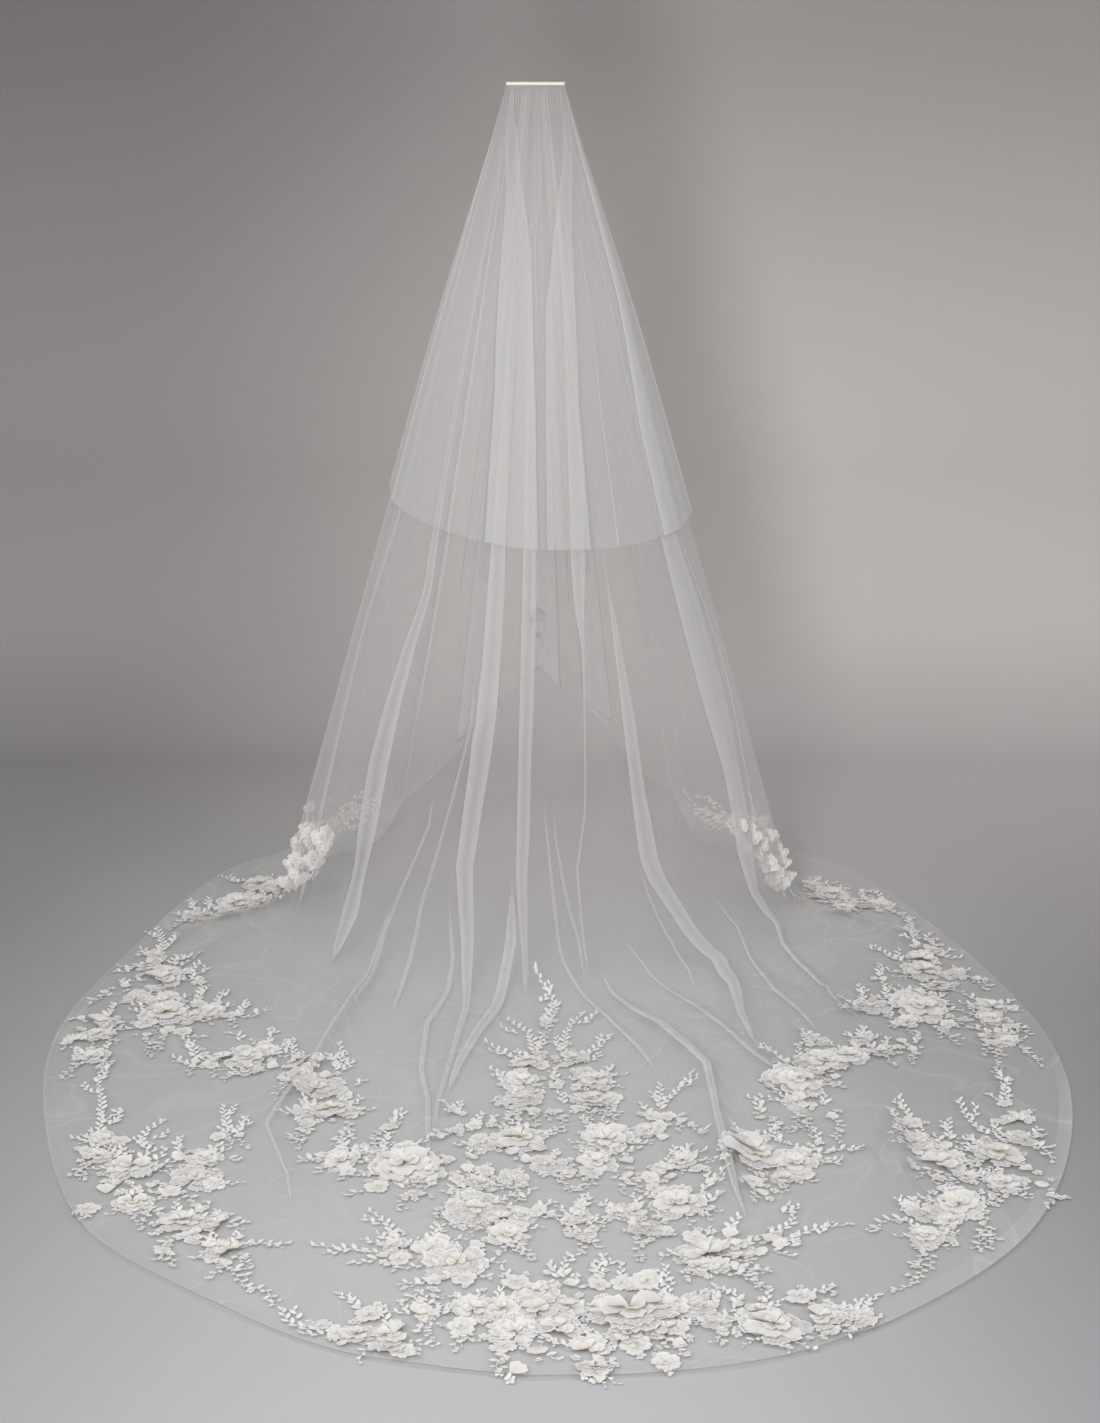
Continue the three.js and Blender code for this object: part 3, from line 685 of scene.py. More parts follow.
# Folds and soft ridges stand off the floor round their own middle
def foldLift(folds, edges, angles, runs):
    left, right, active = edges
    total = np.zeros_like(angles)
    for i, fold in enumerate(folds):
        if "lift" not in fold:
            continue
        height = np.interp(runs, *zip(*fold["lift"]), left=0, right=0)[:, None]
        fromLeft, fromRight = cloth["liftShares"]
        middle = (left[i] * fromLeft + right[i] * fromRight)[:, None]
        wide = ((right[i] - left[i]) / 2)[:, None]
        pastLeft, pastRight = cloth["liftReach"]
        away = angles - middle
        reach = np.where(away < 0, wide + pastLeft, wide + pastRight)
        total = np.maximum(total, height * np.exp(-(away / reach) ** 2))
    return total


# Creases over the floor that run across the columns: height, half width and points in metres
floorRidges = [
    {"name": "leftRoll", "height": 0.020, "half": 0.020,
     "points": [(-0.41, -0.02), (-0.47, -0.08), (-0.54, -0.13), (-0.60, -0.17), (-0.66, -0.25)]},
    {"name": "leftRollLow", "height": 0.010, "half": 0.014,
     "points": [(-0.51, -0.18), (-0.56, -0.24), (-0.60, -0.34), (-0.63, -0.43)]},
    {"name": "leftStub", "height": 0.008, "half": 0.012,
     "points": [(-0.43, -0.38), (-0.45, -0.54), (-0.46, -0.63)]},
    {"name": "rightRoll", "height": 0.016, "half": 0.016,
     "points": [(0.48, -0.09), (0.57, -0.14), (0.65, -0.20), (0.69, -0.27)]},
    {"name": "rightFan", "height": 0.010, "half": 0.012,
     "points": [(0.41, -0.41), (0.46, -0.49), (0.50, -0.54), (0.56, -0.59)]},
    {"name": "rightFork", "height": 0.007, "half": 0.010,
     "points": [(0.46, -0.49), (0.53, -0.45), (0.58, -0.43)]},
    {"name": "rightStep", "height": 0.008, "half": 0.012, "points": [(0.40, -0.54), (0.45, -0.68)]},
    {"name": "rightLow", "height": 0.010, "half": 0.012,
     "points": [(0.49, -0.75), (0.53, -0.76), (0.56, -0.82), (0.58, -0.87)]},
    {"name": "rightFar", "height": 0.008, "half": 0.011, "points": [(0.55, -0.78), (0.66, -0.90)]},
    {"name": "rightFarther", "height": 0.009, "half": 0.011,
     "points": [(0.60, -0.77), (0.68, -0.88), (0.71, -0.88)]},
    {"name": "rightDeep", "height": 0.016, "half": 0.016,
     "points": [(0.55, -0.90), (0.54, -1.03), (0.53, -1.10), (0.55, -1.18)]},
    {"name": "rightDeepInner", "height": 0.012, "half": 0.014,
     "points": [(0.50, -1.01), (0.49, -1.12), (0.47, -1.24)]},
]


def ridgeHeight(x, y):
    total = np.zeros_like(x)
    for ridge in floorRidges:
        points = np.array(ridge["points"])
        best = np.full(x.shape, 1e9)
        place = np.zeros(x.shape)
        steps = len(points) - 1
        for k in range(steps):
            start, way = points[k], points[k + 1] - points[k]
            share = np.clip(((x - start[0]) * way[0] + (y - start[1]) * way[1]) / (way @ way), 0, 1)
            away = np.hypot(x - start[0] - share * way[0], y - start[1] - share * way[1])
            closer = away < best
            best = np.where(closer, away, best)
            place = np.where(closer, (k + share) / steps, place)
        end = np.minimum(place, 1 - place) / cloth["taperShare"]
        taper = np.clip(end, 0, 1) ** cloth["taperPower"]
        total = np.maximum(total, ridge["height"] * taper * np.exp(-(best / ridge["half"]) ** 2))
    return total


# Four-sided faces of a grid of points, closed round the last column or left open there
def gridFaces(rows, columns, closed):
    index = np.arange(rows * columns).reshape(rows, columns)
    right = np.roll(index, -1, axis=1)
    quads = np.stack([index[:-1], index[1:], right[1:], right[:-1]], axis=-1)
    return (quads if closed else quads[:, :-1]).reshape(-1, 4)


def meshGrid(name, points, uvAcross, uvDown, creases):
    rows, columns = points.shape[:2]
    quads = gridFaces(rows, columns, True)
    mesh = bpy.data.meshes.new(name)
    mesh.vertices.add(rows * columns)
    mesh.vertices.foreach_set("co", points.reshape(-1).astype(np.float32))
    mesh.loops.add(quads.size)
    mesh.loops.foreach_set("vertex_index", quads.reshape(-1).astype(np.int32))
    mesh.polygons.add(len(quads))
    mesh.polygons.foreach_set("loop_start", np.arange(0, quads.size, 4, dtype=np.int32))
    mesh.polygons.foreach_set("use_smooth", np.ones(len(quads), bool))
    mesh.update(calc_edges=True)
    nextAcross = np.append(uvAcross[1:], uvAcross[-1] * 2 - uvAcross[-2])
    corners = (uvAcross, uvAcross, nextAcross, nextAcross)
    u = np.stack([np.broadcast_to(corner, (rows - 1, columns)) for corner in corners], axis=-1)
    down = np.broadcast_to(uvDown[:, None], (rows, columns))
    v = np.stack([down[:-1], down[1:], down[1:], down[:-1]], axis=-1)
    crease = mesh.attributes.new("crease", "FLOAT", "POINT")
    crease.data.foreach_set("value", creases.reshape(-1).astype(np.float32))
    layer = mesh.uv_layers.new(name="UVMap")
    layer.data.foreach_set("uv", np.stack([u, v], axis=-1).reshape(-1).astype(np.float32))
    return addObject(name, mesh)


# Drop of the hem for each column, where a fold's layers end at heights of their own
def columnReach(folds, marks, angles, reference):
    last = angles[-1]
    travel = np.concatenate([[0], np.cumsum(np.abs(np.diff(last)))])
    wanted = []
    for k, mark in enumerate(marks):
        if mark is None:
            near = min(abs(last[k] - angle) for fold in folds if "hem" in fold
                       for angle in (fold["rows"][-1][1], fold["rows"][-1][2]))
            if near > cloth["hemBeside"]:
                wanted.append((travel[k], reference[k]))
        elif "hem" not in folds[mark[0]]:
            wanted.append((travel[k], reference[k]))
        elif mark[2] in cloth["turns"]:
            wanted.append((travel[k], folds[mark[0]]["hem"][cloth["turns"].index(mark[2])]))
    place, drop = zip(*wanted)
    smooth = np.interp(travel, place, drop)
    return travel, smooth / reference


# Waves and fine gathers of the cloth, off its bare form
def clothOffsets(angles, run):
    onSlope = smoothStep(*cloth["waveStarts"], run)
    wide, long = cloth["broadScale"]
    start, first = cloth["broadStart"]
    broad = softNoise(angles / wide + start, run * long + first, cloth["seed"])
    wide, long = cloth["fineScale"]
    start, first = cloth["fineStart"]
    fine = softNoise(angles / wide + start, run * long + first, cloth["seed"] + 1)
    waves = cloth["wave"] * broad * onSlope + cloth["fineWave"] * fine * onSlope
    flat = smoothStep(*cloth["flatStarts"], run)
    pleats = cloth["pleat"] * (0.5 + 0.5 * np.sin(np.radians(angles * 360 / cloth["pleatStep"])))
    return waves * (1 - cloth["flattened"] * flat) + pleats * (1 - smoothStep(0.0, cloth["pleatEnd"], run))


def makeLongTier():
    tier = {
        "bandRuns": [-0.01, -0.007, -0.003],
        "slopeRows": 46,
        "bendRows": 14,
        "floorRows": 84,
        "floorEnd": 1.985,
        "hemRuns": [1.99, 1.995, 1.998, 2.0],
        "plainStep": 1.35,  # degrees from one plain column to the next
        "onFloor": (0.96, 1.06),  # runs between which the floor's creases set in
        "floorBand": 0.02,  # how low a point lies to have them
        "crumple": 0.004,
        "crumpleFrom": 0.45,
        "crumpleScale": (22, 14),
        "crumpleStart": (60, 80),
        "crumpleSeed": 21,
        "curlStart": 1.975,
        "hemCurl": 0.004,
    }
    bendStart, bendEnd = tent["bendStart"], tent["bendEnd"]
    runs = np.concatenate([
        tier["bandRuns"],
        np.linspace(0, bendStart, tier["slopeRows"], endpoint=False),
        np.linspace(bendStart, bendEnd, tier["bendRows"], endpoint=False),
        np.linspace(bendEnd, tier["floorEnd"], tier["floorRows"]),
        tier["hemRuns"],
    ])
    angles, offsets, marks, edges, creases = tierColumns(longFolds, runs, tier["plainStep"])
    reference = -hemPoint(angles[-1])[:, 2]
    travel, reach = columnReach(longFolds, marks, angles, reference)
    run = runs[:, None] * np.ones_like(angles)
    bare = barePoint(angles, run, reach[None, :])
    normal = bareNormal(angles, run, reach[None, :])
    lift = foldLift(longFolds, edges, angles, runs)
    out = offsets + clothOffsets(angles, run) + lift
    points = bare + normal * out[..., None]
    flat = smoothStep(*tier["onFloor"], run) * (bare[..., 2] < -tent["drop"] + tier["floorBand"])
    points[..., 2] += ridgeHeight(bare[..., 0], bare[..., 1]) * flat
    x, y = (bare[..., k] * tier["crumpleScale"][k] + tier["crumpleStart"][k] for k in (0, 1))
    crumple = softNoise(x, y, tier["crumpleSeed"])
    points[..., 2] += tier["crumple"] * np.maximum(0, crumple - tier["crumpleFrom"]) * flat
    curl = smoothStep(tier["curlStart"], 2.0, run) * tier["hemCurl"]
    points[..., 2] = np.maximum(points[..., 2], -tent["drop"]) + tent["clearance"] + curl
    made = meshGrid("longTier", points, travel / cloth["uvScale"], runs, creases)
    made.data.materials.append(tulleMaterial("tulle", 0.165, 0.24, 2.0, 1.35))
    print("long tier", points.shape, "faces", len(made.data.polygons))
    return made


def makeShortTier():
    tier = {
        "bandRuns": [-0.01, -0.005],
        "rows": 96,
        "lastRow": 0.985,
        "hemRows": [0.992, 0.997, 1.0],
        "hemRun": 0.6,  # run of the long tier beside which the hem hangs, about
        "plainStep": 1.7,
        "outside": 0.0019,  # off the long tier at the comb
        "stand": 0.008,  # and more, further down
        "standRuns": (0.02, 0.3),
    }
    shares = np.linspace(0, tier["lastRow"], tier["rows"])
    shares = np.concatenate([tier["bandRuns"], shares, tier["hemRows"]])
    guess = np.where(shares < 0, shares, shares * tier["hemRun"])
    angles, offsets, marks, edges, creases = tierColumns(shortFolds, guess, tier["plainStep"])
    hemDrop = stationValue(shortStations, 30, angles[-1], 0, 1)
    travel, reach = columnReach(shortFolds, marks, angles, hemDrop)
    bottom = hemDrop * reach
    slopeEnd = -barePoint(angles[-1], np.full(angles.shape[1], tent["bendStart"]))[:, 2]
    hemRun = (bottom - tent["gather"]) / (slopeEnd - tent["gather"]) * tent["bendStart"]
    run = np.where(shares[:, None] < 0, shares[:, None], shares[:, None] * hemRun[None, :])
    bare = barePoint(angles, run)
    normal = bareNormal(angles, run)
    stand = tier["outside"] * smoothStep(-tent["bandRun"], 0.0, run)
    stand = stand + tier["stand"] * smoothStep(*tier["standRuns"], run)
    waves = clothOffsets(angles, guess[:, None] * np.ones_like(angles))
    points = bare + normal * (offsets + waves + stand)[..., None]
    made = meshGrid("shortTier", points, travel / cloth["uvScale"], shares, creases)
    made.data.materials.append(tulleMaterial("tulleShort", 0.23, 0.5, 1.0, 1.0))
    print("short tier", points.shape, "faces", len(made.data.polygons))
    return made


# Sheer net: fine cells, faint lines that run down from the gathers, more thread at a slant, and a painted
# contact shadow along the front hem's roll.
# One layer, seen straight on, hides this share of what is behind it
def tulleMaterial(name, hides, thinEnd, hem, hemGain):
    look = {
        "thread": (0.82, 0.812, 0.795, 1),
        "streakTone": 0.96,
        "leastSlant": 0.40,
        "cell": 0.0012,  # metres from one hole of the net to the next
        "cellDepth": 0.16,
        "streaks": 0.24,
        "streakScale": (9.0, 0.12, 1.0),
        "fineScale": (46.0, 0.3, 1.0),
        "floorRuns": (1.0, 1.15),  # between these, streaks give way to wrinkles
        "streaksLost": 0.8,
        "crease": 4.5,  # how much more is hidden where a fold turns over
        "thinShare": 0.3,  # depth right under the comb
        "wrinkle": 0.9,
        "wrinkleThin": 16.0,
        "wrinkleNoise": {"Scale": 6.5, "Detail": 1.0, "Distortion": 0.7},
        "haze": 0.9,
        "hazeNoise": {"Scale": 2.4, "Detail": 0.0},
        "hemBand": (0.007, 0.003),  # runs before the end of the cloth
        "rolledHemShadow": 0.7,  # the front hem's roll: more thread, and a painted contact shadow where it touches the floor
        "rolledShadowBand": (0.0026, 0.0012),
        "rolledShadowNear": (0.75, 1.15),
        # how far the hem's roll goes to the colour of the painted contact shadow, and that colour
        "rolledShadowTone": 0.9,
        "hemShade": (0.16, 0.145, 0.14, 1),
        "strip": 0.9,  # the strip of hem at the right that stands off the floor
        "stripBand": (0.040, 0.034),
        "stripRight": (0.2, 0.5),
        "stripNear": (0.65, 0.9),
        "absorb": 2.718,  # a depth of 1 lets one part in this many through
        "through": 0.38,  # share of the light that the threads pass on
    }
    material, wire = newMaterial(name)
    place = wire.node("ShaderNodeTexCoord", output=3)
    along = wire.node("ShaderNodeUVMap", {"uv_map": "UVMap"})

    def noise(vector, sockets):
        return wire.node("ShaderNodeTexNoise", {"noise_dimensions": "2D"}, {"Vector": vector, **sockets})

    def streaks(scale, detail):
        stretch = wire.node("ShaderNodeMapping", None, {"Vector": along, "Scale": scale})
        return noise(stretch, {"Scale": 1.0, "Detail": detail})

    def fromHem(band, first=0.0, last=1.0):
        return down.ease(hem - band[0], hem - band[1], first, last)

    broad = streaks(look["streakScale"], 1.0)
    fine = streaks(look["fineScale"], 0.0)
    down = along.split()[1]
    x, y, z = place.split()
    near = y * -1.0
    pitch = math.pi / look["cell"]
    net = ((x + z) * pitch).sine() * ((y - z) * pitch).sine() * look["cellDepth"] + 1.0
    level = down.ease(*look["floorRuns"])
    threads = ((broad + fine) - 1.0) * look["streaks"] * (1 - level * look["streaksLost"]) + 1.0
    drift = noise(place, look["wrinkleNoise"])
    wrinkle = (1 - abs(drift * 2.0 - 1.0)) ** look["wrinkleThin"]
    haze = noise(place, look["hazeNoise"])
    rumple = (wrinkle * look["wrinkle"] + (haze - 0.5) * look["haze"]) * level + 1.0
    facing = wire.node("ShaderNodeLayerWeight", None, {"Blend": 0.5}, output=1)
    slant = wire.maths("MAXIMUM", 1 - facing, look["leastSlant"])
    thin = down.ramp(0.0, thinEnd, look["thinShare"], 1.0)
    strip = x.ease(*look["stripRight"]) * near.ease(*look["stripNear"])
    edge = fromHem(look["hemBand"], 1.0, hemGain) + fromHem(look["stripBand"]) * strip * look["strip"]
    rolledHemShadow = fromHem(look["rolledShadowBand"]) * near.ease(*look["rolledShadowNear"])
    crease = wire.node("ShaderNodeAttribute", {"attribute_name": "crease"}, output=2) * look["crease"] + 1.0
    depth = threads * net * rumple * hides * thin * edge * crease / slant
    factor = wire.maths("MAXIMUM", 1 - look["absorb"] ** (depth * -1.0), rolledHemShadow * look["rolledHemShadow"])
    faint = (*[c * look["streakTone"] for c in look["thread"][:3]], 1)
    colour = mixColour(wire, broad, faint, look["thread"])
    # painted contact shadow along the front hem's roll
    colour = mixColour(wire, rolledHemShadow * look["rolledShadowTone"], colour, look["hemShade"])
    front = wire.node("ShaderNodeBsdfPrincipled", None,
                      {"Base Color": colour, "Roughness": 0.75, "Sheen Weight": 0.25,
                       "Specular IOR Level": 0.25})
    through = wire.node("ShaderNodeBsdfTranslucent", None, {"Color": look["thread"]})
    fabric = mixShader(wire, look["through"], front, through)
    clear = wire.node("ShaderNodeBsdfTransparent")
    showShader(wire, mixShader(wire, factor, clear, fabric))
    return material


# Motifs of the lace, each drawn one unit wide and laid flat: rows of petals in a ring, with count,
# reach, half spread in degrees, height, tilt and cup, the part of the circle that they fill and
# whether they are sheer embroidery (1) or whole cloth (0)
bloomKinds = [
    {"name": "peony",
     "rings": [(7, 1.0, 31, 0.01, 0.02, 0.02, 360, 1), (5, 0.76, 37, 0.05, 0.10, 0.06, 290, 0),
               (4, 0.54, 46, 0.09, 0.30, 0.14, 360, 0), (3, 0.32, 58, 0.12, 0.75, 0.22, 360, 0)]},
    {"name": "fan",
     "rings": [(5, 1.0, 30, 0.01, 0.02, 0.02, 200, 1), (4, 0.90, 32, 0.04, 0.07, 0.03, 190, 1),
               (4, 0.72, 40, 0.08, 0.20, 0.12, 240, 0), (3, 0.42, 52, 0.08, 0.50, 0.18, 360, 0)]},
    {"name": "rose",
     "rings": [(6, 1.0, 36, 0.01, 0.03, 0.03, 360, 1), (5, 0.72, 43, 0.05, 0.14, 0.10, 360, 0),
               (4, 0.46, 52, 0.09, 0.45, 0.18, 360, 0), (3, 0.25, 60, 0.10, 0.80, 0.20, 360, 0)]},
    {"name": "open",
     "rings": [(6, 1.0, 35, 0.01, 0.02, 0.02, 360, 1), (5, 0.62, 38, 0.04, 0.09, 0.05, 360, 1),
               (4, 0.32, 50, 0.07, 0.35, 0.15, 360, 0)]},
    {"name": "disc",
     "rings": [(5, 1.0, 42, 0.02, 0.04, 0.03, 360, 0), (4, 0.42, 50, 0.05, 0.14, 0.10, 360, 0)]},
    {"name": "shell", "rings": [(1, 1.7, 50, 0.04, 0.12, 0.08, 360, 0)]},
    {"name": "blossom", "rings": [(5, 1.0, 34, 0.06, 0.10, 0.06, 360, 0)]},
]


petal = {
    "root": 0.07,  # share of the reach at which a petal starts
    "blade": 0.93,
    "rounding": 0.24,
    "narrowing": 0.12,
    "lobes": 4.0,
    "lobeDepth": 0.05,
    "ruffles": 8.5,
    "ruffle": 0.02,
    "tipDroop": 0.42,
    "cupDroop": 0.4,
    "rimPower": 0.4,
    "sheerGrid": (6, 10),  # rows and columns of a petal
    "wholeGrid": (5, 8),
    "smallGrid": (4, 4),
    "strayTurn": 0.14,
    "straySize": 0.12,
    "strayTilt": 0.3,
    "overlap": 0.02,  # height of every other petal over its neighbours
    # inner rings keep less tone: no corded rim, and a darker cream in a bloom's middle, partly the thread's
    # cream and partly painted shade
    "innerTone": 0.75,
    "shellShift": 0.5,
    "seed": 40,
}


def petalGrid(reach, spread, height, tilt, cup, direction, fineness, rng):
    t, s = np.meshgrid(np.linspace(0, 1, fineness[0]), np.linspace(-1, 1, fineness[1]), indexing="ij")
    lobes = 1 + petal["lobeDepth"] * np.cos(s * math.pi * petal["lobes"] + rng.random() * 2) * t ** 3
    outline = petal["root"] + petal["blade"] * t * (1 - petal["rounding"] * np.abs(s) ** 3 * t)
    radius = reach * outline * lobes
    width = math.radians(spread) * (1.0 - petal["narrowing"] * t)
    turn = direction + s * width
    ruffle = petal["ruffle"] * reach * np.sin(s * petal["ruffles"] + rng.random() * 6) * t ** 2
    rise = tilt * reach * t * (1 - petal["tipDroop"] * t)
    hollow = cup * reach * s ** 2 * t * (1 - petal["cupDroop"] * t)
    z = height + rise + hollow + ruffle
    points = np.stack([radius * np.cos(turn), radius * np.sin(turn), z], axis=-1).reshape(-1, 3)
    rim = np.maximum(t, np.abs(s) * t ** petal["rimPower"])
    return points, gridFaces(*fineness, False), rim.reshape(-1), s.reshape(-1)


def meshPiece(name, points, faces, values):
    mesh = bpy.data.meshes.new(name)
    mesh.from_pydata([tuple(p) for p in points], [], [tuple(int(i) for i in f) for f in faces])
    for attribute, numbers in values.items():
        made = mesh.attributes.new(attribute, "FLOAT", "POINT")
        made.data.foreach_set("value", np.asarray(numbers, np.float32))
    mesh.polygons.foreach_set("use_smooth", [True] * len(mesh.polygons))
    return bpy.data.objects.new(name, mesh)


def makeMotifs():
    motifs = bpy.data.collections.new("motifs")
    for number, kind in enumerate(bloomKinds):
        rng = np.random.default_rng(petal["seed"] + number)
        points, faces, rims, across, sheers, start = [], [], [], [], [], 0
        for level, (count, reach, spread, height, tilt, cup, part, sheer) in enumerate(kind["rings"]):
            fineness = petal["sheerGrid"] if sheer else petal["wholeGrid"]
            if kind["name"] == "blossom":
                fineness = petal["smallGrid"]
            for k in range(count):
                place = k + 0.5 * (level % 2) + petal["strayTurn"] * rng.normal()
                direction = math.radians(part) * place / count
                size = reach * (1 + petal["straySize"] * rng.normal())
                ownTilt = tilt * (1 + petal["strayTilt"] * rng.normal())
                layer = height + petal["overlap"] * (k % 2)
                p, f, rim, s = petalGrid(size, spread, layer, ownTilt, cup, direction, fineness, rng)
                if kind["name"] == "shell":
                    p[:, 0] -= reach * petal["shellShift"]
                points.append(p)
                faces.append(f + start)
                # inner rings' lower tone paints shade in the middle of a bloom
                rims.append(rim * (petal["innerTone"] if level > 1 else 1.0))
                across.append(s)
                sheers.append(np.full(len(p), float(sheer)))
                start += len(p)
        values = {"tone": rims, "thread": across, "sheer": sheers}
        values = {name: np.concatenate(numbers) for name, numbers in values.items()}
        motif = meshPiece("motif%d" % number, np.concatenate(points), np.concatenate(faces), values)
        motifs.objects.link(motif)
    outline = [(0, 0), (0.2, 0.17), (0.5, 0.26), (0.8, 0.19), (1.0, 0),
               (0.8, -0.19), (0.5, -0.26), (0.2, -0.17)]
    ridge = [(0.12, 0.06), (0.5, 0.13), (0.86, 0.08)]
    points = [(x, y, 0.02) for x, y in outline] + [(x, 0, z) for x, z in ridge]
    faces = [(0, 1, 8), (1, 2, 9, 8), (2, 3, 10, 9), (3, 4, 10),
             (4, 5, 10), (5, 6, 9, 10), (6, 7, 8, 9), (7, 0, 8)]
    values = {"tone": [1.0] * 8 + [0.7] * 3, "thread": [0.0] * 11, "sheer": [0.0] * 11}
    leaf = meshPiece("leaf", points, [f[::-1] for f in faces], values)
    return motifs, leaf


